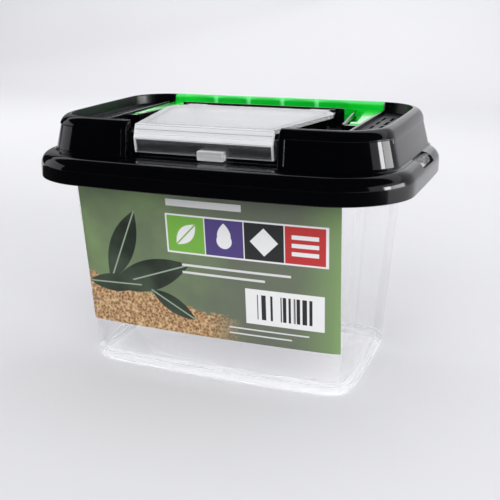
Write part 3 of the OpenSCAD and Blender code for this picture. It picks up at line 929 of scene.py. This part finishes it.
def make_arm(side):
    """Flat arm with a round root, a sloped inner edge, and the boss and pin that it turns on."""
    root = 9.0
    inner = (HANDLE_A - ARM_W, 0)
    corner = (HANDLE_A - ARM_ROOT_W - root, REACH - root)
    outline = [(HANDLE_A, 0), (HANDLE_A, REACH + 2), (corner[0], REACH + 2)]
    outline += arc(corner, root, math.pi / 2, 0, 12) + [inner]
    arm = prism("arm", mirrored(outline, side), ARM_TOP - 3.7, ARM_TOP, "z", on_deck)
    bevel, drop = 2.8, 1.8
    k = drop / bevel

    def along(p):
        u, d, w = p[1], p[2], p[0]
        turn = math.atan(ARM_SLOPE)
        x = inner[0] + u * math.cos(turn) - w * math.sin(turn)
        y = u * math.sin(turn) + w * math.cos(turn)
        return on_deck((side * x, y, ARM_TOP + d))

    wedge = prism("wedge", [(-1, -drop - k), (bevel + 1, k), (-1, k)], 4, REACH - root + 5, "x", along)
    cut(arm, [wedge])
    soften(arm, 0.3)
    low, high = sorted((side * inner[0], side * HANDLE_A))
    pin_low, pin_high = sorted((side * (HANDLE_A - 1), side * (HANDLE_A + 2.6)))
    boss = rod("boss", 3.0, low, high, (0, PIVOT_D), soft=0.3)
    pin = rod("pivot_pin", 1.2, pin_low, pin_high, (0, PIVOT_D), soft=0.2)
    return join(arm, [boss, pin])


def make_handle():
    """The grip with its hollows and ridges, and the two arms."""
    grip = prism("handle_green", grip_profile(), -HANDLE_A, HANDLE_A, "x", on_deck)
    radius = RIDGE_PITCH ** 2 / (8 * SCALLOP) + SCALLOP / 2
    for i in range(RIDGES + 1):
        centre = (RIDGE_X0 + RIDGE_PITCH * (i - 0.5), REACH + SCALLOP - radius)
        hollow = circle(centre, radius, 256)
        cut(grip, [prism("scallop", hollow, -WELL_D - 1, GRIP_TOP + 1, "z", on_deck)])
    middle = (RIDGE_X0 + RIDGE_PITCH * (RIDGES - 1) / 2, 0, 0)
    ridges = repeat(ridge_piece(), RIDGES, 1, RIDGE_PITCH * (RIDGES - 1), 0, middle)
    join(grip, [ridges])
    join(grip, [make_arm(1), make_arm(-1)])
    return grip


handle = make_handle()
print("handle faces", len(handle.data.polygons))

# %% [markdown]
# The label is a printed sheet on the front wall. It follows the wall's bow and the start of the
# corners, so its points are worked out on the wall itself, a hair in front of it. It carries its
# own UV map, in which the print is drawn.

# %% Label
LABEL_A, LABEL_LOW, LABEL_HIGH = 63.0, 22.0, 90.5
LABEL_TAPER = 2.4


def wall_y(x, z, out):
    """Y of the front wall at a point, or of a skin that lies a distance out from it."""
    a, b, r = FOOT_A + DRAFT * z + out, FOOT_B + DRAFT * z + out, TANK_CORNER + out
    past = max(abs(x) - (a - r), 0)
    y = b - r + math.sqrt(r * r - past * past)
    return -y * (1 - LONG_BOW / b * (x / a) ** 2)


def make_label():
    columns, rows, gap, thick = 96, 24, 0.06, 0.2
    points, faces, spots = [], [], []
    for out in (gap + thick, gap):
        for j in range(rows + 1):
            z = LABEL_LOW + (LABEL_HIGH - LABEL_LOW) * j / rows
            for i in range(columns + 1):
                x = LABEL_A * (2 * i / columns - 1) - LABEL_TAPER * j / rows * (1 - i / columns)
                points.append((x * MM, wall_y(x, z, out) * MM, z * MM))
                spots.append((i / columns, j / rows))
    wide = columns + 1
    back = wide * (rows + 1)
    for j in range(rows):
        for i in range(columns):
            p = j * wide + i
            faces.append((p, p + 1, p + wide + 1, p + wide))
            faces.append((back + p, back + p + wide, back + p + wide + 1, back + p + 1))
    fronts = len(faces)
    rim = list(range(columns)) + [columns + wide * j for j in range(rows)]
    rim += [rows * wide + columns - i for i in range(columns)]
    rim += [(rows - j) * wide for j in range(rows)]
    for k, p in enumerate(rim):
        q = rim[(k + 1) % len(rim)]
        faces.append((p, back + p, back + q, q))
    mesh = bpy.data.meshes.new("label_print")
    mesh.from_pydata(points, [], faces)
    flat = mesh.uv_layers.new(name="print")
    for loop in mesh.loops:
        flat.data[loop.index].uv = spots[loop.vertex_index]
    for n, polygon in enumerate(mesh.polygons):
        polygon.material_index = 0 if n < fronts and n % 2 == 0 else 1
    return add_object("label_print", mesh)


label = make_label()
print("label faces", len(label.data.polygons))

# %% [markdown]
# Every finish starts from a Principled shader. On the mouldings, what varies over the surface is
# worked out from the piece's own coordinates, so nothing has to be unwrapped and a pattern stays
# with its piece when a joint moves. A few helpers keep each recipe to what is special about it.

# %% Helpers for finishes
def new_material(name, values):
    """A material with a Principled shader whose plain values are set on its own sockets."""
    material = bpy.data.materials.new(name)
    material.use_nodes = True
    net = Net(material.node_tree)
    shader = material.node_tree.nodes["Principled BSDF"]
    for key, value in values.items():
        shader.inputs[key].default_value = value
    return material, net, shader


def drive(net, shader, **wires):
    """Links wires to the shader's inputs, named with underscores for spaces."""
    for key, wire in wires.items():
        net.tree.links.new(wire.socket, shader.inputs[key.replace("_", " ")])


def noise(net, where, scale, detail=3.0, rough=0.5):
    values = {"Vector": where, "Scale": scale, "Detail": detail, "Roughness": rough}
    return net.add("ShaderNodeTexNoise", None, values)


def bump(net, height, distance, strength=1.0, under=None):
    values = {"Height": height, "Distance": distance, "Strength": strength}
    if under is not None:
        values["Normal"] = under
    return net.add("ShaderNodeBump", None, values)


def object_place(net):
    return net.add("ShaderNodeTexCoord", None, None, out="Object")


def stretched(net, where, scale, turn=(0, 0, 0)):
    """Places for a pattern that is drawn out or laid at an angle."""
    return net.add("ShaderNodeMapping", None, {"Vector": where, "Scale": scale, "Rotation": turn})


print("helpers for finishes ready")

# %% [markdown]
# The black lid is a polished moulding. Seen close it is never perfect: the surface waves a
# little, as hot plastic does on a mould, it carries fine scuffs, and its decks and shelves hold
# some dust. The pocket floor has a fine grain that the mould was sparked with. Faces that look
# up or inwards are found from their normals. A Bevel node rounds the shading of the cut edges,
# which a real tool can't make sharp.

# %% Black lid
def black_plastic():
    material, net, shader = new_material("black_moulding", {"IOR": 1.5})
    where = object_place(net)
    part = net.add("ShaderNodeSeparateXYZ", None, {0: where})
    x, y, z = part, part.of("Y"), part.of("Z")
    normal = net.add("ShaderNodeNewGeometry", None, None, out="Normal")
    facing = net.add("ShaderNodeSeparateXYZ", None, {0: normal})
    upward = facing.of("Z").step(0.85, 0.97)
    inward = (x * facing + y * facing.of("Y")).step(0, -0.02)
    level = z - y * DECK_RISE
    above = level.step((DECK_Z - 6) * MM, (DECK_Z - 5.4) * MM)
    below = level.step((DECK_Z + 1.2) * MM, (DECK_Z + 0.8) * MM)
    deck = upward * above * below
    wave = noise(net, where, 70, 2)
    grain = noise(net, where, 2600, 2, 0.6)
    scuffs = noise(net, stretched(net, where, (60, 900, 300), (0, 0, 0.4)), 3, 4, 0.65).step(0.62, 0.74)
    dust = noise(net, where, 900, 4, 0.7).step(0.66, 0.8) * upward
    smudge = noise(net, where, 38, 3).step(0.4, 0.75)
    rough = 0.07 + smudge * 0.06 + scuffs * 0.08 + deck * 0.3 + dust * 0.25 + inward * 0.2
    ink = net.mix(deck, rgb(0.0009, 0.0010, 0.0015), rgb(0.007, 0.0075, 0.0085))
    colour = net.mix(dust * 0.18 + scuffs * 0.003, ink, rgb(0.14, 0.14, 0.14))
    rounded = net.add("ShaderNodeBevel", {"samples": 8}, {"Radius": 0.6 * MM})
    height = wave * 0.5 + grain * (0.02 + deck * 0.5)
    drive(net, shader, Base_Color=colour, Roughness=rough,
          Normal=bump(net, height, 0.06 * MM, 0.6, rounded))
    return material


print("grain starts", DECK_Z - 6, "mm above the table")

# %% [markdown]
# The handle is dyed right through with a bright green and has a satin skin. Thin places let some
# light through, so a little of the light is scattered under the surface. A paler green is painted
# on the ridges and the top of the grip as a highlight; the masks for it come from the same sizes
# as the piece. A second, clear layer of shine on top is what a Coat is for.

# %% Green handle
def green_plastic():
    values = {"IOR": 1.48, "Coat Weight": 1.0, "Coat Roughness": 0.1,
              "Subsurface Weight": 0.15, "Subsurface Scale": 3 * MM, "Subsurface Radius": (0.4, 1.0, 0.3)}
    material, net, shader = new_material("green_moulding", values)
    where = object_place(net)
    part = net.add("ShaderNodeSeparateXYZ", None, {0: where})
    y, z = part.of("Y"), part.of("Z")
    broad = noise(net, where, 45, 3)
    fine = noise(net, where, 1500, 3, 0.6)
    wear = noise(net, where, 260, 4, 0.7).step(0.6, 0.8)
    place = (part / MM - RIDGE_X0) / RIDGE_PITCH + 0.5
    across = (place - place.math("FLOOR") - 0.5).math("ABSOLUTE") * RIDGE_PITCH
    height = (z - y * DECK_RISE) / MM - DECK_Z
    on_ridge = across.step(1.5, 0.9) * (y / MM).step(REACH + 2, REACH - 0.5) * height.step(-0.5, 0.5)
    outer = (part / MM).math("ABSOLUTE").step(-RIDGE_X0 + 6, -RIDGE_X0 + 4)
    top = height.step(GRIP_TOP - 1.9, GRIP_TOP - 0.9) * (y / MM).step(REACH - 1, REACH)
    # painted highlight: the ridges and the top of the grip get a paler green where light catches them
    painted_highlight = (on_ridge * outer + top * 0.5).math("MINIMUM", 0.9)
    colour = net.mix(broad.step(0.35, 0.7), rgb(0.002, 0.60, 0.03), rgb(0.004, 0.67, 0.04))
    colour = net.mix(painted_highlight, colour, rgb(0.16, 0.9, 0.27))
    colour = net.mix(wear * 0.12, colour, rgb(0.15, 0.8, 0.25))
    rough = 0.22 + broad * 0.1 + wear * 0.12
    rounded = net.add("ShaderNodeBevel", {"samples": 6}, {"Radius": 0.3 * MM})
    drive(net, shader, Base_Color=colour, Roughness=rough,
          Normal=bump(net, broad * 0.4 + fine * 0.06, 0.05 * MM, 0.7, rounded))
    return material


print("ridges on the grip", RIDGES)

# %% [markdown]
# Clear styrene bends light a little more than window glass. Its faces are polished, with slight
# waves where the melt flowed and fine rub marks from the shelf. Grained parts look milky, and edges
# and some rims carry a painted highlight: both mix in a scattering pair of shaders of their own
# pale colour. A thin wall hardly bends what is seen through it, so a share of the light goes
# straight on. That share is a Refraction shader with an index of 1: a Transparent one would use up
# the few transparent steps of a path behind so many walls and turn the floor dark. A shadow ray
# passes straight through, so the case throws the light, soft shadow that a clear box does and not a black
# one.

# %% Clear plastic
STYRENE_IOR = 1.52


def clear_plastic(name, tint, haze, rough_base, frost_and_highlight, grain, straight):
    """Clear moulding. frost_and_highlight masks its milky parts and painted highlights, which have the
    colour grain; straight is a share.
    """
    material, net, shader = new_material(name, {"IOR": STYRENE_IOR, "Transmission Weight": 1.0})
    where = object_place(net)
    waves = noise(net, stretched(net, where, (30, 30, 12)), 1.4, 2)
    rubs = noise(net, stretched(net, where, (500, 500, 60), (0.2, 0, 0.3)), 2, 4, 0.7).step(0.66, 0.8)
    colour = net.mix(rubs * haze, tint, rgb(0.9, 0.91, 0.92))
    rough = rough_base + rubs * 0.12
    drive(net, shader, Base_Color=colour, Roughness=rough, Normal=bump(net, waves, 0.25 * MM, 0.35))
    face = net.add("ShaderNodeNewGeometry", None, None, out="True Normal")
    rounded = net.add("ShaderNodeBevel", {"samples": 8}, {"Radius": 0.5 * MM})
    same = net.add("ShaderNodeVectorMath", {"operation": "DOT_PRODUCT"}, {0: face, 1: rounded}, out=1)
    # painted highlight: edges that the Bevel node finds are made milky white, with a little of the rubs
    edge = (1 - same).step(0.01, 0.2) * 0.5 + rubs * 0.05
    milky_and_highlight = edge.math("MAXIMUM", frost_and_highlight(net, where))
    front = net.add("ShaderNodeBsdfDiffuse", None, {"Color": grain})
    behind = net.add("ShaderNodeBsdfTranslucent", None, {"Color": grain})
    scatter = net.add("ShaderNodeMixShader", None, {0: 0.45, 1: front, 2: behind})
    no_bend = {"Color": rgb(0.995, 0.995, 0.995), "Roughness": 0.0, "IOR": 1.0}
    clear = net.add("ShaderNodeBsdfRefraction", None, no_bend)
    shade = net.add("ShaderNodeBsdfTransparent", None, {"Color": rgb(0.975, 0.975, 0.98)})
    glass = net.add("ShaderNodeMixShader", None, {0: straight, 1: Wire(net, shader.outputs[0]), 2: clear})
    body = net.add("ShaderNodeMixShader", None, {0: milky_and_highlight, 1: glass, 2: scatter})
    shadow = net.add("ShaderNodeLightPath", None, None, out="Is Shadow Ray")
    mixed = net.add("ShaderNodeMixShader", None, {0: shadow, 1: body, 2: shade})
    net.tree.links.new(mixed.socket, net.tree.nodes["Material Output"].inputs["Surface"])
    return material


print("styrene bends light", STYRENE_IOR, "times as much as air")

# %% [markdown]
# Where the two clear pieces are milky differs. On the hatch it is the upper band of the lip with
# its grip lines, the rough finger tab, and the rim round the lip, as a painted highlight. On the
# tank it is the grained underside of the floor, and the foot and the bend above the floor, as
# painted highlight lines. Each mask is a product of smooth steps over heights and distances that
# the pieces themselves were built with.

# %% Milky parts
GRIP_LINE_PITCH = 1.9


def hatch_frost_and_highlight(net, where):
    """The upper band of the lip is milky with grip lines, the tab milky with streaks; the rim has a
    painted highlight.
    """
    part = net.add("ShaderNodeSeparateXYZ", None, {0: where})
    x, y = (part / MM).math("ABSOLUTE"), part.of("Y") / MM
    height = part.of("Z") / MM - y * DECK_RISE - DECK_Z
    lip = y.step(-HATCH_FRONT + 0.9, -HATCH_FRONT + 0.4)
    band = height.step(LIP_KNEE - 0.6, LIP_KNEE) * lip
    lines = ((height + 0.3) * (2 * math.pi / GRIP_LINE_PITCH)).math("COSINE").step(0.86, 0.97)
    # painted highlight: the lip's end rim, and faintly its lower rim, are made milky
    low_rim_highlight = height.step(LIP_FOOT + 0.8, LIP_FOOT + 0.4) * 0.2
    rim = x.step(LIP_A - 0.9, LIP_A - 0.5).math("MAXIMUM", low_rim_highlight) * lip
    tab = y.step(-HATCH_FRONT - 2.2, -HATCH_FRONT - 2.5) * height.step(-5.0, -5.6)
    plate = (noise(net, where, 30, 2).step(0.3, 0.7) * 0.04 + 0.06) * (1 - lip)
    tab_frost = tab * (0.35 + noise(net, stretched(net, where, (30, 30, 900)), 1, 2) * 0.4)
    return (band * (0.85 - lines * 0.5)).math("MAXIMUM", rim * 0.75).math("MAXIMUM", tab_frost) + plate


def tank_frost_and_highlight(net, where):
    """The floor's underside has a light grain; the foot and the bend above the floor carry painted
    highlights.
    """
    part = net.add("ShaderNodeSeparateXYZ", None, {0: where})
    z = part.of("Z") / MM
    speck = noise(net, where, 600, 3, 0.7)
    # painted highlight lines: the foot and the bend above the floor are made milky
    foot = z.step(0.9, 0.5) * 0.3
    bend = z.step(FLOOR_Z + 0.02, FLOOR_Z + 0.15) * z.step(FLOOR_Z + 0.9, FLOOR_Z + 0.6) * 0.34
    floor = z.step(FLOOR_Z - 0.3, FLOOR_Z - 0.8) * (0.02 + speck * 0.07)
    return floor.math("MAXIMUM", foot).math("MAXIMUM", bend)


print("grip lines every", GRIP_LINE_PITCH, "mm")

# %% [markdown]
# The print is this model's own: a soft green ground, a bed of brown litter, dark leaves over it,
# four coloured tiles with plain signs, and a white panel with bars. A picture file would do the
# same, but here each shape is a mask made from the label's UV map, so edges stay crisp at any
# size. The sheet below measures in millimetres from the lower left corner of the label.

# %% Shapes on the label
class Sheet:
    def __init__(self, net):
        uv = net.add("ShaderNodeTexCoord", None, None, out="UV")
        parts = net.add("ShaderNodeSeparateXYZ", None, {0: uv})
        self.net = net
        self.wide, self.high = 2 * LABEL_A, LABEL_HIGH - LABEL_LOW
        self.u, self.v = parts * self.wide, parts.of("Y") * self.high
        self.flat = net.add("ShaderNodeCombineXYZ", None, {0: self.u, 1: self.v})

    def box(self, left, low, right, top, soft=0.12):
        across = self.u.step(left - soft, left + soft) * self.u.step(right + soft, right - soft)
        return across * self.v.step(low - soft, low + soft) * self.v.step(top + soft, top - soft)

    def disc(self, cu, cv, r):
        du, dv = self.u - cu, self.v - cv
        return (du * du + dv * dv).math("SQRT").step(r + 0.12, r - 0.12)

    def rhomb(self, cu, cv, r):
        return ((self.u - cu).math("ABSOLUTE") + (self.v - cv).math("ABSOLUTE")).step(r + 0.15, r - 0.15)

    def leaf(self, cu, cv, length, width, turn):
        """(blade, midrib) of a pointed leaf that lies at an angle."""
        c, s = math.cos(turn), math.sin(turn)
        du, dv = self.u - cu, self.v - cv
        along = (du * c + dv * s) / (length / 2)
        across = (dv * c - du * s).math("ABSOLUTE")
        edge = (1 - along * along).math("MAXIMUM", 0) * (width / 2)
        blade = (edge - across).step(-0.15, 0.15) * edge.step(0, 0.2)
        vein = across.step(0.5, 0.15) * blade
        return blade, vein


print("label", 2 * LABEL_A, "by", LABEL_HIGH - LABEL_LOW, "mm")

# %% [markdown]
# The ground fades from green to grey-green and back to green. The litter is a colour ramp over
# cells and fibres, heaped in the lower left corner by a height that falls to the right. Each leaf
# is a blade with a pale midrib.

# %% Ground, litter and leaves
LEAVES = ((21, 40, 40, 13, 1.15), (34, 27, 46, 15, 0.35), (15, 21, 30, 9, 0.05), (46, 14, 26, 8, -0.5))
LITTER = [(0.15, rgb(0.02, 0.012, 0.008)), (0.4, rgb(0.16, 0.075, 0.035)),
          (0.6, rgb(0.46, 0.27, 0.12)), (0.85, rgb(0.72, 0.55, 0.33))]


def print_ground(sheet, haze):
    net, flat, across = sheet.net, sheet.flat, sheet.u / sheet.wide
    ground = net.mix(haze.step(0.3, 0.7), rgb(0.13, 0.175, 0.10), rgb(0.19, 0.28, 0.12))
    ground = net.mix(across.step(0.25, 0.7) * 0.8, ground, rgb(0.125, 0.135, 0.11))
    ground = net.mix(across.step(0.8, 1.05), ground, rgb(0.2, 0.32, 0.12))
    crumbs = net.add("ShaderNodeTexVoronoi", None, {"Vector": flat, "Scale": 0.75})
    fibre = noise(net, flat, 0.9, 5, 0.7)
    litter = net.add("ShaderNodeValToRGB", {"stops": LITTER}, {0: crumbs * 0.5 + fibre * 0.65})
    heap = 21 - sheet.u * 0.2 + noise(net, flat, 0.12, 4, 0.6) * 9
    return net.mix((heap - sheet.v).step(-0.6, 0.6) * sheet.u.step(84, 60), ground, litter)


def print_leaves(sheet, picture, haze):
    net = sheet.net
    shade = net.mix(haze.step(0.35, 0.65), rgb(0.012, 0.02, 0.012), rgb(0.05, 0.075, 0.045))
    for leaf in LEAVES:
        blade, vein = sheet.leaf(*leaf)
        picture = net.mix(blade, picture, shade)
        picture = net.mix(vein, picture, rgb(0.32, 0.4, 0.3))
    return picture


print("leaves", len(LEAVES))

# %% [markdown]
# The tiles stand in one white box. Their signs are a leaf, a drop, a rhomb and three bars, which
# need no more than the masks of the sheet. Lines of text are only hinted at by plain pale bars.
# The bars of the white panel are wide or narrow by chance, from a noise that is always the same.

# %% Tiles, lines and bars
TILE_WIDE, TILE_LOW, TILE_TOP = 18, 41, 58
TILES = ((46.0, rgb(0.17, 0.42, 0.05)), (64.5, rgb(0.075, 0.05, 0.2)),
         (83.0, rgb(0.02, 0.022, 0.022)), (101.5, rgb(0.5, 0.03, 0.03)))
LINES = ((46, 62.4, 82, 65.6), (52, 34.2, 104, 35.3), (52, 30.6, 92, 31.7), (74, 6.6, 112, 7.3),
         (74, 3.8, 104, 4.5))
WHITE = rgb(0.78, 0.78, 0.78)


def print_tiles(sheet, picture):
    net = sheet.net
    picture = net.mix(sheet.box(45.2, 40.2, 120.8, 58.8), picture, WHITE)
    for left, colour in TILES:
        picture = net.mix(sheet.box(left, TILE_LOW, left + TILE_WIDE, TILE_TOP), picture, colour)
    blade, vein = sheet.leaf(55, 49.5, 14, 7, 0.8)
    picture = net.mix(blade * (1 - vein), picture, WHITE)
    drop = sheet.leaf(73.5, 50.5, 12, 6.4, 1.57)[0] * sheet.v.step(49, 49.4)
    picture = net.mix((drop + sheet.disc(73.5, 48.2, 3.6)).math("MINIMUM", 1), picture, WHITE)
    picture = net.mix(sheet.rhomb(92, 49.5, 6.45), picture, WHITE)
    for level in (44.6, 48.4, 52.2):
        picture = net.mix(sheet.box(104.5, level, 116.5, level + 1.9), picture, WHITE)
    return picture


def print_lines(sheet, picture):
    for line in LINES:
        picture = sheet.net.mix(sheet.box(*line) * 0.85, picture, WHITE)
    return picture


def print_bars(sheet, picture):
    net = sheet.net
    picture = net.mix(sheet.box(82.5, 10, 119, 27, 0.1), picture, rgb(0.8, 0.8, 0.8))
    column = (sheet.u * 1.9).math("FLOOR")
    chance = net.add("ShaderNodeTexWhiteNoise", {"noise_dimensions": "1D"}, {"W": column})
    bars = chance.step(0.49, 0.51) * sheet.box(88, 12.5, 113.5, 24.5, 0.05)
    return net.mix(bars, picture, rgb(0.02, 0.02, 0.02))


print("tiles", len(TILES), "lines", len(LINES))

# %% [markdown]
# The layers are laid over each other in the order of a print, then the ink gets a few paler
# specks. Coated card has a slight sheen and lies a little wavy on the wall. Its back is plain,
# fibrous and matt.

# %% Printed label
def label_print():
    material, net, shader = new_material("printed_card", {"IOR": 1.45})
    sheet = Sheet(net)
    haze = noise(net, sheet.flat, 0.035, 3)
    picture = print_leaves(sheet, print_ground(sheet, haze), haze)
    picture = print_lines(sheet, print_tiles(sheet, picture))
    picture = print_bars(sheet, picture)
    ink = noise(net, sheet.flat, 14, 2)
    picture = net.mix(ink.step(0.55, 0.8) * 0.06, picture, rgb(0.5, 0.5, 0.5))
    curl = noise(net, sheet.flat, 0.05, 2)
    drive(net, shader, Base_Color=picture, Roughness=0.38 + ink * 0.12,
          Normal=bump(net, curl + ink * 0.02, 0.3 * MM, 0.2))
    return material


def card_back():
    material, net, shader = new_material("card_back", {"IOR": 1.45})
    where = object_place(net)
    fibre = noise(net, where, 1200, 4, 0.7)
    colour = net.mix(fibre, rgb(0.62, 0.62, 0.6), rgb(0.76, 0.76, 0.74))
    drive(net, shader, Base_Color=colour, Roughness=0.6 + fibre * 0.2,
          Normal=bump(net, fibre, 0.05 * MM, 0.4))
    return material


print("both sides of the card ready")

# %% [markdown]
# Each piece now takes its finish and its place in the frame. The tank is nearly clear and lets
# most of the light go straight on; the hatch is a touch bluer, hazier and bends more. The label
# has two finishes, so it is placed by hand: the print is on its front and the card on the rest.

# %% Put the finishes on
# grain is the colour of each piece's milky parts, its painted highlights too
tank_finish = clear_plastic(
    "clear_tank_plastic", rgb(0.985, 0.985, 0.985), haze=0.4, rough_base=0.015,
    frost_and_highlight=tank_frost_and_highlight, grain=rgb(0.66, 0.67, 0.68), straight=0.8)
hatch_finish = clear_plastic(
    "clear_hatch_plastic", rgb(0.96, 0.965, 0.975), haze=0.7, rough_base=0.04,
    frost_and_highlight=hatch_frost_and_highlight, grain=rgb(0.93, 0.94, 0.95), straight=0.12)
finish_piece(tank, "tank", "tank", tank_finish)
finish_piece(lid, "lid", "lid", black_plastic())
finish_piece(hatch, "hatch", "hatch", hatch_finish)
finish_piece(handle, "handle", "handle", green_plastic())
label.data.materials.append(label_print())
label.data.materials.append(card_back())
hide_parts("label")
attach(label, "tank")
print("finishes", len(bpy.data.materials))

# %% [markdown]
# The case stands on a pale sweep of paper: floor and backdrop in one curve, so that no horizon
# shows. A plane and a wall would do, but the line between them would cross the clear tank.

# %% Paper sweep
def paper(name, tone_low, tone_high):
    material, net, shader = new_material(name, {"Roughness": 0.75, "Specular IOR Level": 0.2})
    where = object_place(net)
    tooth = noise(net, where, 700, 4, 0.7)
    tone = noise(net, where, 1.2, 2)
    colour = net.mix(tone.step(0.35, 0.65), tone_low, tone_high)
    drive(net, shader, Base_Color=colour, Normal=bump(net, tooth, 0.05 * MM, 0.3))
    return material


def make_sweep():
    half, front, bend, curve, top, under = 5.0, -5.0, 1.1, 0.7, 1.6, -0.03 * MM
    profile = [(front, under), (bend, under)]
    profile += [(bend + curve * math.sin(t), under + curve * (1 - math.cos(t))) for t in quarter(16)]
    profile.append((bend + curve, top))
    points = [(x, y, z) for y, z in profile for x in (-half, half)]
    faces = [(2 * i, 2 * i + 1, 2 * i + 3, 2 * i + 2) for i in range(len(profile) - 1)]
    mesh = bpy.data.meshes.new("paper_sweep")
    mesh.from_pydata(points, [], faces)
    mesh.polygons.foreach_set("use_smooth", [True] * len(mesh.polygons))
    mesh.materials.append(paper("pale_paper", rgb(0.66, 0.66, 0.68), rgb(0.69, 0.69, 0.71)))
    return add_object("paper_sweep", mesh)


sweep = make_sweep()
print("sweep faces", len(sweep.data.polygons))

# %% [markdown]
# Polished black plastic mirrors what stands round it, and in a pale room it would look grey. In a
# studio, black cards stand just out of view. Here one lies on the floor with a notch for the
# case, one stands behind on the left, one in front, and one hangs overhead. Only reflections
# see them: the camera, the light of the lamps and shadows pass through.

# %% Black cards
CARD_ON_FLOOR = [(x, y, 0.004) for x, y in (
    (-2.2, -2.0), (1.0, -2.0), (1.0, -0.04), (0.2, -0.04), (0.12, -0.2), (-0.12, -0.2), (-0.2, 0.25),
    (-2.2, 0.25))]
CARD_BEHIND = [(-2.8, 0.9, 0.0), (-1.05, 1.65, 0.0), (-1.05, 1.65, 1.3), (-2.8, 0.9, 1.3)]
CARD_IN_FRONT = [(-6, -3, 0), (6, -3, 0), (6, -3, 3.4), (-6, -3, 3.4)]
CARD_OVERHEAD = [(-6, -3, 3.4), (6, -3, 3.4), (6, 1.9, 3.4), (-6, 1.9, 3.4)]


def make_flag():
    corners, faces = [], []
    for card in (CARD_ON_FLOOR, CARD_BEHIND, CARD_IN_FRONT, CARD_OVERHEAD):
        faces.append(list(range(len(corners), len(corners) + len(card))))
        corners += card
    mesh = bpy.data.meshes.new("black_flag")
    mesh.from_pydata(corners, [], faces)
    mesh.materials.append(paper("black_card", rgb(0.006, 0.006, 0.006), rgb(0.01, 0.01, 0.01)))
    flag = add_object("black_flag", mesh)
    flag.visible_camera = False
    flag.visible_diffuse = False
    flag.visible_transmission = False
    flag.visible_shadow = False
    return flag


flag = make_flag()
print("black cards", len(flag.data.polygons))

# %% [markdown]
# Broad soft lights hang over the case, fill it from the front and brighten the paper; none of
# the three shows in reflections. A wide panel behind and two small ones at the right do show, and
# give the glints and tall streaks of polished corners. The room past the paper is pale to the
# camera, to reflections and through clear walls, and a little dimmer where it only gives light.

# %% Lamps and room
def add_light(name, place, target, size, power, glossy=True):
    data = bpy.data.lights.new(name, "AREA")
    data.shape = "RECTANGLE"
    data.size, data.size_y = size
    data.energy = power
    lamp = add_object(name, data)
    lamp.location = place
    lamp.rotation_euler = (Vector(target) - Vector(place)).to_track_quat("-Z", "Y").to_euler()
    lamp.visible_glossy = glossy


def make_world():
    world = bpy.data.worlds.new("room")
    bpy.context.scene.world = world
    world.use_nodes = True
    net = Net(world.node_tree)
    dim = world.node_tree.nodes["Background"]
    dim.inputs["Color"].default_value = rgb(0.93, 0.95, 1.0)
    dim.inputs["Strength"].default_value = 0.05
    pale = net.add("ShaderNodeBackground", None, {"Color": rgb(0.76, 0.76, 0.79), "Strength": 1.0})
    path = net.add("ShaderNodeLightPath", None, None, out="Is Camera Ray")
    seen = path + path.of("Is Transmission Ray") + path.of("Is Glossy Ray")
    share = (seen + path.of("Is Diffuse Ray") * 0.6).math("MINIMUM", 1)
    mixed = net.add("ShaderNodeMixShader", None, {0: share, 1: Wire(net, dim.outputs[0]), 2: pale})
    net.tree.links.new(mixed.socket, world.node_tree.nodes["World Output"].inputs["Surface"])


make_world()
add_light("overhead", (0.25, 0.2, 1.3), (0, 0.0, 0.08), (1.9, 1.4), 7, glossy=False)
add_light("behind", (-0.5, 1.45, 0.55), (0, 0, 0.12), (2.2, 0.7), 1.4)
add_light("right_tall", (1.15, -0.05, 0.2), (0.05, 0, 0.1), (0.2, 0.34), 3.4)
add_light("right_soft", (1.1, 0.33, 0.2), (0.05, 0, 0.1), (0.5, 0.34), 3.4)
add_light("front_fill", (0.4, -1.3, 1.0), (0.05, 0, 0.06), (1.8, 1.2), 19, glossy=False)
add_light("backdrop_fill", (-0.8, 0.5, 1.0), (-0.8, 1.7, 0.2), (1.8, 0.8), 11, glossy=False)
print("lamps", len(bpy.data.lights))

# %% [markdown]
# The camera stands to the right of the front and a little above the lid, about as far away as an
# arm's reach, and looks slightly down. Its focal length is written in pixels of a square picture,
# as a measured view gives it, and turned into the millimetres that a camera takes.

# %% Camera
SENSOR_MM, PICTURE_PX, FOCAL_PX = 36, 500, 822.7
CAMERA_PLACE = (0.15065, -0.36703, 0.16978)
YAW, PITCH, ROLL = 0.3803, 0.2872, -0.0017


def make_camera():
    data = bpy.data.cameras.new("camera")
    data.sensor_width = SENSOR_MM
    data.lens = FOCAL_PX / PICTURE_PX * SENSOR_MM
    data.clip_start = 0.01
    camera = add_object("camera", data)
    aim = Matrix.Rotation(YAW, 4, "Z") @ Matrix.Rotation(math.pi / 2 - PITCH, 4, "X")
    camera.matrix_world = Matrix.Translation(CAMERA_PLACE) @ aim @ Matrix.Rotation(ROLL, 4, "Z")
    bpy.context.scene.camera = camera
    return camera


camera = make_camera()
print("camera lens", round(camera.data.lens, 2), "mm")

# %% [markdown]
# The view transform is set to Standard, so that a colour renders about as it is written.

# %% View transform
bpy.context.scene.view_settings.view_transform = "Standard"
